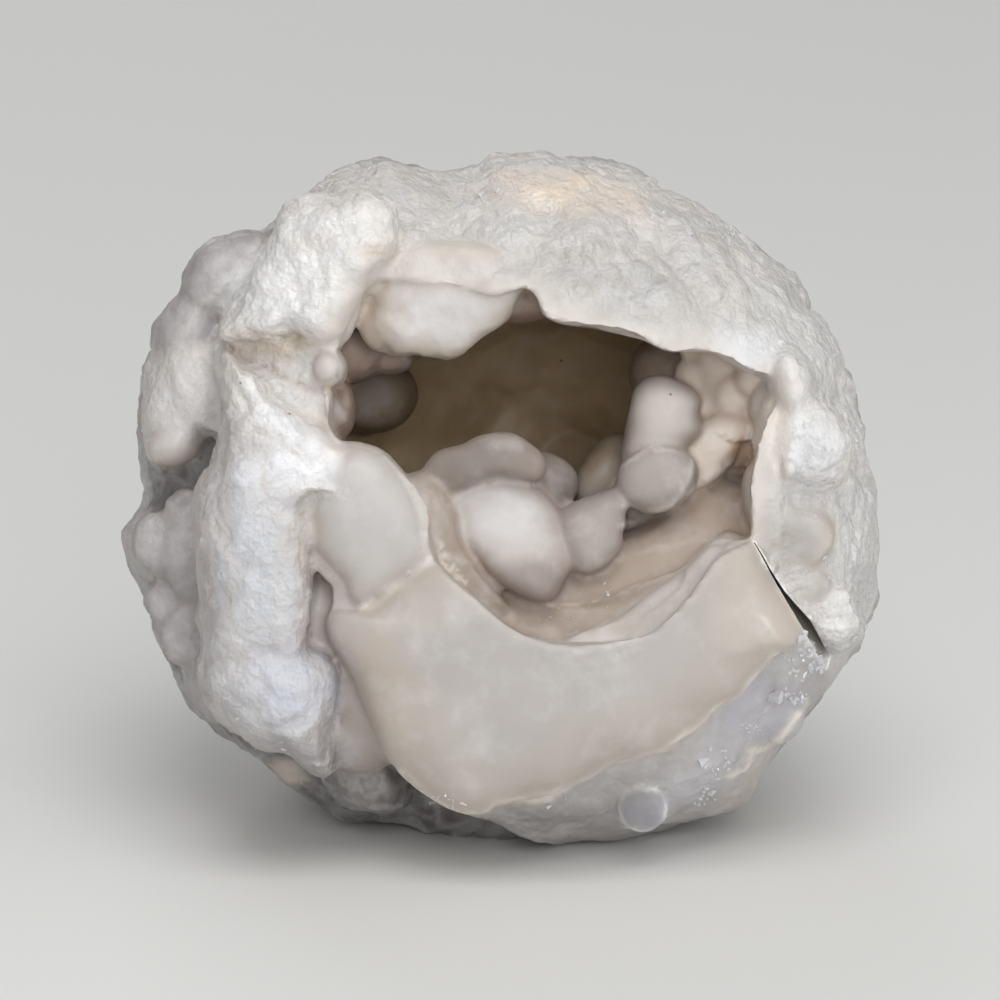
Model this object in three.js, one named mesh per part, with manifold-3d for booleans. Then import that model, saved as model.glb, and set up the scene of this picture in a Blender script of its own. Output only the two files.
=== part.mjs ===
// A hollow chalcedony nodule, broken open at the front so that its lumpy inside shows.
// Lengths are millimetres. The finished stone rests on z = 0 with its mouth towards -Y.
import * as THREE from 'three';
import { mergeVertices } from 'three/addons/utils/BufferGeometryUtils.js';
import Module from 'manifold-3d';

const wasm = await Module();
wasm.setup();

// Driving dimensions of the nodule.
const MOUTH_TILT = 14; // degrees that the mouth looks up, once the stone rests
const CENTRE_HEIGHT = 31.6; // the nodule's centre above the surface it rests on
const SHELL_FRONT = 27; // centre to the broken front
const SHELL_BACK = 34; // centre to the back of the rind
const SHELL_FULLNESS = 0.77; // under 1 flattens the broken front
const RECESS_FRONT = 12; // centre to the sunken shell on the left
const RECESS_FULLNESS = 0.85;
const HOLLOW = { at: [4, 5], radii: [22, 17], front: 19, back: 27 };
const FACE_CLEAR = 48; // where every cutter ends, clear in front of the stone
const GROUND = 100; // the side of the block that cuts the resting facet

// How finely each surface is faceted: an icosahedron's edges are cut in one more than this many parts.
const SHELL_DETAIL = 8;
const HOLLOW_DETAIL = 4;
const LINE_STEPS = 2; // points along a cutter's smooth line, for each point of its outline
const REACH_STEPS = 8; // the same, where an outline gives a lump its reach

// Driving dimensions of the rind's knobs.
const KNOB_COUNT = 90;
const KNOB_HEIGHT = 2;
const KNOB_ANGLE = 0.27; // radians from a knob's crown to its foot
const KNOB_SINK = 0.6; // the share of a knob's height by which the ground between knobs lies low
const GOLDEN_ANGLE = Math.PI * (3 - Math.sqrt(5));

// Outlines lie in the plane of the mouth: [x, z] from the nodule's centre, x to the right and z up it.
const SILHOUETTE = [
  [-0.5, 34.3], [5.9, 34.7], [12.9, 33.2], [16.1, 31.5], [21.5, 29], [26.3, 24.8], [29.9, 21.3],
  [33.7, 15], [35.7, 8.7], [37.1, 2.8], [37.6, -3.9], [37, -10], [35.1, -14.2], [32.6, -18.4], [28, -24],
  [23.8, -30], [20.7, -31.2], [13.8, -33.1], [9, -33.9], [3.7, -34.8], [-5.3, -33.8], [-10.2, -32],
  [-15.5, -31.6], [-20.9, -28.4], [-25.7, -25], [-30.1, -21.3], [-33.3, -16], [-35.5, -10.9],
  [-36.8, -7.2], [-37.6, -3], [-35.6, 0.4], [-36, 4], [-36.9, 7.5], [-36, 12.5], [-33.1, 18.1],
  [-29.7, 22.7], [-25.8, 26.6], [-21.1, 29.4], [-16.9, 32.6], [-11.7, 34.6], [-9.1, 33.8], [-4.7, 33],
];
const MOUTH = [
  [-15.8, 6.3], [-16.4, 11], [-15.9, 15.5], [-14.6, 18], [-12.1, 21.6], [-6, 21.4], [-1, 20.6], [2.7, 21],
  [4.6, 18.2], [8.7, 17.2], [13.2, 16.3], [16.5, 14.8], [19.7, 15], [24.5, 12.9], [27.1, 12.2],
  [26.9, 10.4], [25.6, 8], [24.9, 5], [24.3, 1.5], [24.6, -1.8], [24.2, -3.5], [21, -5.3], [18.2, -9],
  [14.6, -12.4], [11, -13.4], [7, -13.8], [4, -13.4], [0.6, -11.9], [-2.6, -9.2], [-6.7, -5.3], [-7.3, -1],
  [-8.6, 1.6], [-11.5, 4.8],
];
// What stands back behind the front of the stone: the left side and the lower left.
const RECESS = [
  [-20, 33], [-22.6, 26.5], [-24.4, 22.6], [-28, 17.2], [-28.6, 15], [-27.5, 8], [-26.5, 2], [-21, -2],
  [-18.5, -5.5], [-16.4, -8], [-16.9, -11.5], [-16.2, -14.5], [-14.6, -16.8], [-13.2, -20.3],
  [-11.7, -24.4], [-7.2, -28.6], [-4, -30.2], [0, -31.8], [5, -34.2], [8, -44], [-30, -44], [-46, -20],
  [-46, 20], [-30, 38],
];
// The step down to the rind's last layer on the lower right.
const LOWER_STEP = [
  [12, -33], [17.6, -31.6], [20.7, -29.9], [23.8, -28.8], [25.9, -25.1], [27.6, -23], [30.6, -20.4],
  [32, -19], [44, -20], [30, -44], [12, -44],
];
const LOWER_STEP_DEPTH = 10;
// The fissure on the right: its middle line, each point with its half width.
const FISSURE = [
  [23.6, -2.6, 0.5], [25.6, -5.2, 0.5], [27.1, -7.6, 0.6], [29.2, -10.9, 0.8], [31.1, -14, 0.8],
  [34.4, -18, 1],
];
const FISSURE_DEPTH = 11;

// Lumps grown from the front of the stone. Each has a centre, an outline or the radii of an ellipse, and
// front, the distance that it stands out towards the viewer. lean is its slope in depth along x and z, and a
// fullness under 1 makes it squarer than a ball.
const FRONT_LUMPS = {
  // The white plate over the mouth's upper left corner.
  flap: {
    at: [-20, 22], front: 25.6, thick: 16, fullness: 0.62, lean: [0.22, -0.12], detail: 2,
    edge: [
      [-20.9, 29.5], [-23.2, 25], [-26.3, 20.4], [-28.2, 17.4], [-27.6, 15.6], [-24, 15.2], [-20.4, 16.6],
      [-18, 15], [-15.6, 15.9], [-13.6, 19.4], [-11.8, 21.9], [-9.6, 26], [-12, 31],
    ],
  },
  hanging_lobe: {
    at: [-4, 20], front: 22.6, thick: 11, fullness: 0.75, lean: [0, 0.1], detail: 2,
    edge: [
      [-12.4, 21], [-12.9, 17.6], [-11.9, 15.6], [-10.8, 14.5], [-8.6, 14.6], [-6.2, 14.2], [-4.2, 14.4],
      [-2.3, 15.8], [0.4, 17.9], [1.3, 19.6], [2.4, 22], [0, 25], [-9, 25],
    ],
  },
  corner_bud: { at: [-17.8, 13.3], radii: [2.1, 2.1], front: 21.8, thick: 7, detail: 1 },
  corner_fold: { at: [-19.6, 10.8], radii: [5.4, 1.7], turn: -32, front: 22.4, thick: 8, detail: 2 },
  left_plate: {
    at: [-31, 9], front: 14.6, thick: 16, fullness: 0.75, lean: [0.35, 0], detail: 2,
    edge: [
      [-27.6, 15.4], [-27.4, 5.2], [-28.6, 6.6], [-30.2, 4.6], [-34.3, 3.8], [-35.8, 7], [-35.4, 12],
      [-32.8, 17],
    ],
  },
  // The tall white column on the left and its foot.
  column: {
    at: [-24.8, -5], front: 28.2, thick: 22, fullness: 0.8, lean: [0.05, 0.05], detail: 3,
    edge: [
      [-27.5, 15], [-27.7, 9], [-28.1, 5], [-29.3, 2.9], [-30.1, 0.8], [-30.3, -2.2], [-30.2, -6],
      [-29.7, -9.7], [-29.9, -11.1], [-29.2, -13.4], [-29.8, -15.6], [-29, -19.5], [-24, -24],
      [-18.4, -22], [-17, -18], [-18.3, -14.5], [-18.2, -10], [-18.2, -6.3], [-19, -2], [-18.6, 4],
      [-20, 8], [-23.6, 13.5],
    ],
  },
  column_foot: {
    at: [-23, -19.5], front: 27.4, thick: 17, fullness: 0.85, lean: [0.05, 0.22], detail: 2,
    edge: [
      [-29.9, -15.4], [-29.6, -18.2], [-28.5, -20.3], [-26.2, -22.8], [-23.7, -24.2], [-20.9, -25.1],
      [-19, -26.4], [-17.8, -27], [-16.5, -26.4], [-16.3, -22], [-16.1, -19], [-16.1, -16], [-18, -14],
      [-24, -12],
    ],
  },
  // The bright arm from the column's top to the mouth's left corner.
  arm: {
    at: [-20.6, 4.6], front: 28.4, thick: 15, fullness: 0.7, lean: [0.02, 0.1], detail: 2,
    edge: [
      [-27, 14.8], [-24.2, 12.8], [-20, 9.8], [-17, 8], [-15.3, 6], [-13.6, 5.2], [-13, 1], [-17, -2.4],
      [-21.6, -2.4], [-26, 0], [-27, 6],
    ],
  },
  shoulder: {
    at: [-12.4, -2.4], front: 28, thick: 15, fullness: 0.66, lean: [-0.02, 0.04], detail: 2,
    edge: [
      [-15.6, 6], [-12.4, 5.6], [-11.2, 4.9], [-8.5, 1.5], [-7.3, -1], [-6.8, -3.6], [-6.6, -5.4],
      [-10.3, -7.6], [-13.2, -10], [-14.9, -10.1], [-15.5, -8.1], [-17, -6.3], [-18.8, -4], [-19, -2],
      [-18.4, 3],
    ],
  },
  // The thick waxy band under the mouth. Its top is cut back to the mouth's own edge.
  band: {
    at: [5, -16.5], front: 28.2, thick: 17, fullness: 0.5, lean: [-0.02, 0.16], detail: 4, cut_by_mouth: true,
    edge: [
      [-16.3, -10.1], [-17.2, -11], [-17.3, -12.5], [-16.3, -14.5], [-14.6, -16.8], [-13.2, -20.3],
      [-12.4, -22.6], [-11.7, -24.4], [-10, -26.2], [-7.2, -28.6], [-4, -30.2], [-2, -30.2], [1.4, -29],
      [4.6, -28.5], [8.3, -26.9], [11, -25.4], [15.4, -24.4], [18.4, -22.7], [20.7, -20.3], [23.4, -18.6],
      [26.7, -14.6], [29.6, -13.6], [29, -11.6], [26.6, -7.6], [24.4, -3.6], [20, -3], [12, -5], [5, -7],
      [-2, -6], [-6.6, -5.4], [-10.3, -7.6], [-13.2, -10], [-14.9, -10.2],
    ],
  },
  // What closes the slit between the column and the band, and the gap below it.
  slit_wall: { at: [-17.2, -10.6], radii: [2.4, 6.4], turn: -2, front: 22.4, thick: 13, detail: 1 },
  curtain: {
    at: [-14.4, -20], front: 21, thick: 13, fullness: 0.7, lean: [0, 0.2], detail: 1,
    edge: [
      [-16.8, -12], [-16.4, -18], [-16.6, -22], [-16.9, -25.6], [-14.6, -26.6], [-12.2, -26.2], [-10.4, -25],
      [-11.6, -20], [-13.4, -15], [-15, -12],
    ],
  },
  // Round lobes on the right, beside the mouth and the fissure.
  right_ridge: { at: [28.4, 11.4], radii: [2, 4.4], turn: 8, front: 23.2, thick: 12, detail: 1 },
  right_crown: {
    at: [29.4, 5.2], radii: [4.9, 5.6], turn: -10, front: 22.6, thick: 15, fullness: 0.85, detail: 1,
  },
  right_belly: { at: [28.7, -3.2], radii: [4.3, 4.6], front: 22.4, thick: 14, fullness: 0.8, detail: 1 },
  right_foot: {
    at: [32, -10.4], radii: [3.4, 4.8], turn: 32, front: 18.6, thick: 13, fullness: 0.85, detail: 1,
  },
  // Beads on the strip below the band.
  bead: { at: [13.8, -30], radii: [2.4, 2.2], front: 21.6, thick: 8, detail: 1 },
  bead_right: { at: [27.9, -21.2], radii: [2.2, 2.6], turn: -30, front: 16.4, thick: 8, detail: 1 },
  // Lumps on the sunken shell, left and below.
  sunk_top: { at: [-27, 22.4], radii: [5.6, 4], turn: 40, front: 13.4, thick: 12, detail: 1 },
  sunk_wall: { at: [-31, 17], radii: [3.4, 4.6], turn: -20, front: 12.6, thick: 12, detail: 1 },
  sunk_ear: { at: [-34.4, -4.2], radii: [3.2, 4], turn: 10, front: 9.6, thick: 14, detail: 1 },
  sunk_ear_inner: { at: [-31.4, -4.6], radii: [2.6, 4.4], front: 10.6, thick: 10, detail: 1 },
  sunk_chin: { at: [-32.2, -11.6], radii: [3, 3.4], turn: 20, front: 10.4, thick: 11, detail: 1 },
  sunk_heel: { at: [-28.4, -18], radii: [3, 4.4], turn: 28, front: 12, thick: 11, detail: 2 },
  sunk_toe: { at: [-13.6, -27.4], radii: [5, 3], turn: -24, front: 12.8, thick: 10, detail: 1 },
};

// Lumps inside the hollow, from the ones nearest the mouth to the back.
const INNER_LUMPS = {
  floor: {
    at: [9, -11], front: 19, thick: 36, fullness: 0.45, lean: [0.1, -0.5], detail: 2,
    edge: [
      [-10, -6], [-6, -14], [2, -20], [14, -20], [25, -12], [28, -4], [26, 2], [22.4, 4.6], [17.4, 0.6],
      [11.6, -2], [5, -4], [-2, -2], [-7, -1],
    ],
  },
  ledge_front: {
    at: [20, -8.5], front: 26.2, thick: 9, fullness: 0.5, detail: 2,
    edge: [
      [13.4, -13.2], [16.1, -11.2], [17.9, -8.9], [19.9, -6.1], [22.6, -3.7], [26, -5], [23, -11], [17, -15],
    ],
  },
  ledge_back: {
    at: [16, -10.5], front: 23.6, thick: 9, fullness: 0.5, detail: 2,
    edge: [
      [5.5, -13.3], [8.6, -12.4], [11.5, -11], [13.6, -9.5], [18.2, -6.2], [21, -3.4], [25, -5], [20, -12],
      [12, -16],
    ],
  },
  inner_lip: {
    at: [-5, -4.6], front: 20.6, thick: 14, fullness: 0.6, detail: 1,
    edge: [
      [-9, 3], [-6.6, 2.8], [-4.6, 0], [-3.4, -4], [-1, -8], [1.6, -11], [-2.4, -12], [-6.6, -8], [-9.4, -2],
    ],
  },
  shelf: { at: [17.6, 1.4], radii: [7.2, 2], turn: 36, front: 14.6, thick: 14, fullness: 0.6, detail: 1 },
  finger_cap: {
    at: [-1.7, 3.7], front: 19, thick: 6.4, fullness: 0.62, detail: 2,
    edge: [
      [-7.9, 2.8], [-7.6, 3.8], [-6.3, 5.2], [-3.8, 5.9], [-2.4, 6.6], [-0.4, 7], [1.2, 6.9], [2.7, 6],
      [3.9, 5], [4.4, 3.9], [4.2, 2.7], [3.3, 2.1], [0, 2.6], [-2.8, 1.7], [-5.5, 0.8], [-7, 1.3],
    ],
  },
  finger_knuckle: { at: [4.6, 2], radii: [3.2, 2.9], turn: -40, front: 15, thick: 7, detail: 1 },
  finger: {
    at: [0.8, -3.4], front: 20.2, thick: 9, fullness: 0.66, lean: [0, -0.45], detail: 2,
    edge: [
      [-5.5, 1.2], [-5.4, -1.3], [-4.8, -3.4], [-3.2, -4.9], [-1.7, -6.4], [0.2, -8.1], [2.3, -9.3],
      [4, -9.7], [5.2, -9.3], [6, -8], [6.7, -6.4], [7, -3.6], [6, -1], [3.6, 1.6], [0, 2.9], [-3, 2.4],
    ],
  },
  finger_bead: {
    at: [8.9, -2.8], front: 19.8, thick: 6.4, fullness: 0.7, lean: [0, -0.3], detail: 2,
    edge: [
      [5.6, -1], [7, 0], [9, 0.9], [11.2, 1.6], [12, 0.2], [12, -2], [11.7, -4.3], [10.6, -5.4], [9.6, -6.4],
      [8.6, -6.9], [7.3, -6.6], [5.9, -4.4], [5.4, -2.6],
    ],
  },
  thumb: {
    at: [16.2, 8], front: 17.6, thick: 9, fullness: 0.6, lean: [0, 0.06], detail: 2,
    edge: [
      [12.6, 9.4], [13, 11.2], [14, 12.3], [15.3, 12.7], [17, 12.3], [18.8, 11.4], [19.6, 10.2], [19.4, 9],
      [19.8, 7.2], [19, 6.2], [17.8, 5.2], [16, 3.6], [13, 3], [11.8, 4], [12.2, 7],
    ],
  },
  thumb_base: { at: [15.1, 2.6], radii: [3.8, 3], turn: 20, front: 19, thick: 8, fullness: 0.65, detail: 2 },
  wall_right: { at: [22.4, 8.6], radii: [4.4, 4.8], front: 12, thick: 12, fullness: 0.6, detail: 1 },
  wall_right_top: { at: [18.4, 13], radii: [2.2, 1.8], turn: -20, front: 12, thick: 9, detail: 1 },
  wall_right_low: { at: [21.2, 5], radii: [2, 1.8], front: 15.4, thick: 8, detail: 1 },
  wall_right_back: { at: [20.6, 7.4], radii: [6.9, 9.4], front: 8, thick: 18, fullness: 0.7, detail: 1 },
  wall_left: { at: [-16, 12.4], radii: [4.8, 6.2], turn: 8, front: 14, thick: 14, fullness: 0.7, detail: 1 },
  wall_left_deep: { at: [-12, 10.4], radii: [4.4, 3.8], front: 4, thick: 14, fullness: 0.6, detail: 1 },
  roof: { at: [9, 18.4], radii: [6, 2.6], turn: -8, front: 14, thick: 12, detail: 1 },
};

// Turns points [x, z] into a smooth closed line of many points.
function smoothLine(points, steps) {
  const curve = new THREE.CatmullRomCurve3(
    points.map(([x, z]) => new THREE.Vector3(x, z, 0)), true, 'centripetal',
  );
  return curve.getPoints(steps).slice(0, steps);
}

// The distance from a centre to an outline, as a function of the angle round that centre.
function reachOf(points, [cx, cz]) {
  const samples = smoothLine(points, points.length * REACH_STEPS)
    .map((p) => [Math.atan2(p.y - cz, p.x - cx), Math.hypot(p.x - cx, p.y - cz)])
    .sort((a, b) => a[0] - b[0]);
  const turn = 2 * Math.PI;
  return (angle) => {
    let upper = samples.findIndex(([a]) => a > angle);
    if (upper < 0) upper = samples.length;
    const [a0, r0] = upper > 0 ? samples[upper - 1] : [samples.at(-1)[0] - turn, samples.at(-1)[1]];
    const [a1, r1] = upper < samples.length ? samples[upper] : [samples[0][0] + turn, samples[0][1]];
    return r0 + ((r1 - r0) * (angle - a0)) / Math.max(a1 - a0, 1e-9);
  };
}

// The distance from an ellipse's centre to its edge, as a function of the angle.
function reachOfEllipse([rx, rz], turn) {
  const tilt = THREE.MathUtils.degToRad(turn);
  return (angle) => 1 / Math.hypot(Math.cos(angle - tilt) / rx, Math.sin(angle - tilt) / rz);
}

// A rounded lump: a sphere drawn out to an outline in the mouth's plane and to its own depths.
// Its two halves meet where it is widest, at the depth of the nodule's centre if a back is given.
function lump({
  at, edge, radii, turn = 0, front, back, thick, fullness = 1, backFullness = fullness, lean = [0, 0], detail,
}) {
  const reach = edge ? reachOf(edge, at) : reachOfEllipse(radii, turn);
  const middle = back === undefined ? front - thick / 2 : 0;
  const geometry = new THREE.IcosahedronGeometry(1, detail);
  const position = geometry.attributes.position;
  const v = new THREE.Vector3();
  for (let i = 0; i < position.count; i++) {
    v.fromBufferAttribute(position, i).normalize();
    const towards = -v.y;
    const power = towards < 0 ? backFullness : fullness;
    const angle = Math.atan2(v.z, v.x);
    const spread = reach(angle) * Math.hypot(v.x, v.z) ** power;
    const x = Math.cos(angle) * spread;
    const z = Math.sin(angle) * spread;
    const half = towards < 0 ? back ?? thick / 2 : front - middle;
    const depth = middle + Math.sign(towards) * Math.abs(towards) ** power * half + lean[0] * x + lean[1] * z;
    position.setXYZ(i, at[0] + x, -depth, at[1] + z);
  }
  return geometry;
}

// A straight-sided block with an outline in the mouth's plane, from one depth to the cleared front.
function block(points, from, smooth = true) {
  const outline = smooth
    ? smoothLine(points, points.length * LINE_STEPS)
    : points.map(([x, z]) => new THREE.Vector2(x, z));
  const shape = new THREE.Shape(outline.map((p) => new THREE.Vector2(p.x, p.y)));
  return new THREE.ExtrudeGeometry(shape, { depth: FACE_CLEAR - from, bevelEnabled: false })
    .rotateX(Math.PI / 2)
    .translate(0, -from, 0);
}

// Crowns of the rind's knobs, spread evenly over the sphere along a golden spiral.
const knobCrowns = Array.from({ length: KNOB_COUNT }, (_, i) => {
  const height = 1 - (2 * (i + 0.5)) / KNOB_COUNT;
  const ring = Math.sqrt(1 - height * height);
  return new THREE.Vector3(ring * Math.cos(i * GOLDEN_ANGLE), height, ring * Math.sin(i * GOLDEN_ANGLE));
});

// Pushes a shell's vertices out into rounded knobs, on all of the rind that the mouth turns away from.
function addKnobs(geometry) {
  const position = geometry.attributes.position;
  const v = new THREE.Vector3();
  for (let i = 0; i < position.count; i++) {
    v.fromBufferAttribute(position, i);
    const direction = v.clone().normalize();
    const nearest = Math.min(...knobCrowns.map((crown) => direction.angleTo(crown)));
    const swell = Math.max(0, 1 - (nearest / KNOB_ANGLE) ** 2);
    const onRind = THREE.MathUtils.smoothstep(direction.y, -0.2, 0.3);
    v.addScaledVector(direction, KNOB_HEIGHT * onRind * (swell - KNOB_SINK));
    position.setXYZ(i, v.x, v.y, v.z);
  }
  return geometry;
}

// The fissure as a thin block that follows its bent middle line.
function fissureBlock() {
  const left = FISSURE.map(([x, z, half]) => [x - half, z - half]);
  const right = FISSURE.map(([x, z, half]) => [x + half, z + half]);
  return block([...left, ...right.reverse()], FISSURE_DEPTH, false);
}

// Sets a geometry as it rests, tipped back with the mouth looking up, and makes it a solid.
function solid(geometry, resting = false) {
  const g = geometry.clone();
  g.deleteAttribute('normal');
  g.deleteAttribute('uv');
  if (!resting) g.rotateX(THREE.MathUtils.degToRad(-MOUTH_TILT)).translate(0, 0, CENTRE_HEIGHT);
  const merged = mergeVertices(g, 1e-4);
  return new wasm.Manifold(new wasm.Mesh({
    numProp: 3,
    vertProperties: merged.attributes.position.array,
    triVerts: new Uint32Array(merged.index.array),
  }));
}

const join = (specs) => specs.map((spec) => solid(lump(spec))).reduce((all, one) => all.add(one));

function makeNodule() {
  const shell = { at: [0, 0], edge: SILHOUETTE, back: SHELL_BACK, backFullness: 1, detail: SHELL_DETAIL };
  const outer = solid(addKnobs(lump({ ...shell, front: SHELL_FRONT, fullness: SHELL_FULLNESS })));
  const sunken = solid(addKnobs(lump({ ...shell, front: RECESS_FRONT, fullness: RECESS_FULLNESS })));
  const mouth = solid(block(MOUTH, 0));
  const recess = solid(block(RECESS, 0, false)).subtract(sunken);
  const step = solid(block(LOWER_STEP, LOWER_STEP_DEPTH, false));
  const hollow = solid(lump({ ...HOLLOW, detail: HOLLOW_DETAIL }));
  const front = Object.values(FRONT_LUMPS);
  const open = outer
    .subtract(recess)
    .subtract(step)
    .add(join(front.filter((spec) => spec.cut_by_mouth)))
    .subtract(mouth)
    .subtract(hollow);
  const ground = solid(new THREE.BoxGeometry(GROUND, GROUND, GROUND).translate(0, 0, -GROUND / 2), true);
  return open
    .add(join(front.filter((spec) => !spec.cut_by_mouth)))
    .add(join(Object.values(INNER_LUMPS)))
    .subtract(solid(fissureBlock()))
    .subtract(ground);
}

// The largest body of a solid, as a geometry whose box is centred over the origin. Stray crumbs that a
// cut leaves are dropped.
function geometryOf(made) {
  const body = made.decompose().sort((a, b) => b.volume() - a.volume())[0];
  const { vertProperties, triVerts } = body.getMesh();
  const geometry = new THREE.BufferGeometry()
    .setAttribute('position', new THREE.BufferAttribute(vertProperties, 3))
    .setIndex(new THREE.BufferAttribute(triVerts, 1));
  geometry.computeBoundingBox();
  const { min, max } = geometry.boundingBox;
  geometry.translate(-(min.x + max.x) / 2, -(min.y + max.y) / 2, -min.z);
  geometry.computeVertexNormals();
  return geometry;
}

const chalcedony = new THREE.MeshStandardMaterial({ color: 0xe6e2dc, roughness: 0.45, metalness: 0 });
const nodule = new THREE.Mesh(geometryOf(makeNodule()), chalcedony);
nodule.name = 'nodule';

const stone = new THREE.Group();
stone.add(nodule);
export default stone;
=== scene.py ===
import math

import bpy
import numpy as np
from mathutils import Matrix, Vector, noise


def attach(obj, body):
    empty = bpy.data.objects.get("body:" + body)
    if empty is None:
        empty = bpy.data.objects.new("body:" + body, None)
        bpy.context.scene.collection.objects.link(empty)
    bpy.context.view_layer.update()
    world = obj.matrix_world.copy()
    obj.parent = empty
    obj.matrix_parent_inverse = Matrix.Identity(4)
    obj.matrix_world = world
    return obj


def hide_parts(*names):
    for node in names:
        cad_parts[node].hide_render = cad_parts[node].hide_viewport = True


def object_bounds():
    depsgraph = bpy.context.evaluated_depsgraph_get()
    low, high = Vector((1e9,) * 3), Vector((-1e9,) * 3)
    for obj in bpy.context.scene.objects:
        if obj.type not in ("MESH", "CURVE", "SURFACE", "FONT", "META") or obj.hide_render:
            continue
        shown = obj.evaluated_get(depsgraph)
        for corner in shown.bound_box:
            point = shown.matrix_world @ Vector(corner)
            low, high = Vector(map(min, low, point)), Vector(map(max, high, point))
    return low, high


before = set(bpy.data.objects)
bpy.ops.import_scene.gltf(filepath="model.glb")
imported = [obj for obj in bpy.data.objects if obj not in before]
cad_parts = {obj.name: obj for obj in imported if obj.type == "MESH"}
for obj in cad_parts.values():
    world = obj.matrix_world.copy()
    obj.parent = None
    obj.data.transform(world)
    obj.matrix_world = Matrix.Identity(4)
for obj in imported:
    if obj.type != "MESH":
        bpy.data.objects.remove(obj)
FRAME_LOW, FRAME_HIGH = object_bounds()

bl_info = {
    "name": "Chalcedony Nodule",
    "version": (1, 0, 0),
    "blender": (4, 5, 0),
    "location": "3D Viewport > Sidebar > Nodule",
    "description": "Builds a hollow chalcedony nodule, broken open at the front",
    "category": "Add Mesh",
}

MM = 0.001

# Outlines lie in the plane of the mouth: (x, z) in millimetres from the nodule's centre, x to the right
# and z up it. Depths are measured from the same centre towards the viewer.
SILHOUETTE = [
    (-0.5, 34.3), (5.9, 34.7), (12.9, 33.2), (16.1, 31.5), (21.5, 29), (26.3, 24.8), (29.9, 21.3),
    (33.7, 15), (35.7, 8.7), (37.1, 2.8), (37.6, -3.9), (37, -10), (35.1, -14.2), (32.6, -18.4), (28, -24),
    (23.8, -30), (20.7, -31.2), (13.8, -33.1), (9, -33.9), (3.7, -34.8), (-5.3, -33.8), (-10.2, -32),
    (-15.5, -31.6), (-20.9, -28.4), (-25.7, -25), (-30.1, -21.3), (-33.3, -16), (-35.5, -10.9),
    (-36.9, -6.8), (-37.6, -4), (-37.4, -1.8), (-36.3, -0.6), (-35.6, 0.7), (-36, 4), (-36.9, 7.5),
    (-36, 12.5), (-33.1, 18.1), (-29.7, 22.7), (-25.8, 26.6), (-21.1, 29.4), (-16.9, 32.6), (-11.7, 34.6),
    (-9.1, 33.8), (-4.7, 33),
]
MOUTH = [
    (-15.8, 6.3), (-16.4, 11), (-15.9, 15.5), (-14.6, 18), (-12.1, 21.6), (-6, 21.4), (-1, 20.6), (2.7, 21),
    (4.6, 18.2), (8.7, 17.2), (13.2, 16.3), (16.5, 14.8), (19.7, 15), (24.5, 12.9), (27.1, 12.2),
    (26.9, 10.4), (25.6, 8), (24.9, 5), (24.3, 1.5), (24.6, -1.8), (24.2, -3.5), (21, -5.3), (18.2, -9),
    (14.6, -12.4), (11, -13.4), (7, -13.8), (4, -13.4), (0.6, -11.9), (-2.6, -9.2), (-6.7, -5.3),
    (-7.3, -1), (-8.6, 1.6), (-11.5, 4.8),
]
RECESS = [
    (-20, 33), (-22.6, 26.5), (-24.4, 22.6), (-28, 17.2), (-28.6, 15), (-27.5, 8), (-26.5, 2), (-21, -2),
    (-18.5, -5.5), (-16.4, -8), (-16.9, -11.5), (-16.2, -14.5), (-14.6, -16.8), (-13.2, -20.3),
    (-11.7, -24.4), (-7.2, -28.6), (-4, -30.2), (0, -31.8), (5, -34.2), (8, -44), (-30, -44), (-46, -20),
    (-46, 20), (-30, 38),
]
LOWER_STEP = [
    (12, -33), (17.6, -31.6), (20.7, -29.9), (23.8, -28.8), (25.9, -25.1), (27.6, -23), (30.6, -20.4),
    (32, -19), (44, -20), (30, -44), (12, -44),
]
LOWER_STEP_DEPTH = 10
# The fissure's middle line, each point with its half width.
FISSURE = [
    (24.6, -3.8, 0.04), (26.2, -6.6, 0.08), (27.6, -8.8, 0.13), (28.8, -10.4, 0.26), (30, -12, 0.4),
    (31, -13.8, 0.4), (32, -15.4, 0.32), (33.4, -17, 0.4), (34.8, -18.6, 0.6),
]
FISSURE_DEPTH = 11
FACE_CLEAR = 48

# How finely outlines, round lumps and spheres are divided.
SPAN_STEPS = 8
MOUTH_STEPS = 6
LOOP_STEPS = 72
BIG_BALL = 6
SMALL_BALL = 5

# The relief's features, in millimetres: how wide knobs, pebbles, grains of sugar, plates and their seams are,
# how far one lump's finish runs into the next, how far the smooth rim of the mouth reaches, and the grain
# that counts as fully rough.
KNOB_SIZE = 6.2
PEBBLE_SIZE = 3.2
SUGAR_SIZE = 1.2
PLATE_SIZE = 4.4
BLEND_WIDTH = 0.32
RIM_WIDTH = 2.6
FULL_GRAIN = 0.42

# Washes of colour over the rind, as sRGB bytes: by the mouth's rim, painted shade in the dips, on some
# plates, along seams.
RIM_WASH = (204, 194, 184)
DIP_PAINTED_SHADE = (192, 188, 184)
PLATE_WASH = (202, 202, 204)
SEAM_WASH = (240, 239, 238)

# Linear tones in the materials, and how strongly quartz bends light.
CLEAR_TONE = (0.48, 0.46, 0.45, 1)
MILKY_TONE = (0.86, 0.86, 0.87, 1)
SUGAR_TONE = (0.5, 0.49, 0.49, 1)
SPECK_TONE = (0.03, 0.03, 0.03, 1)
CRYSTAL_SHADE = (0.74, 0.74, 0.76, 1)
FLOOR_SHADE = (0.8, 0.8, 0.8, 1)
QUARTZ_IOR = 1.54

# The part of the front where the hollow shows, whose faces are thinned less: its centre and its radii.
HOLLOW_VIEW = ((4, 5), (21, 16))
THIN_LEVELS = 10

CRYSTAL_SEED = 11
CRYSTAL_SIDES = 5

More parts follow.
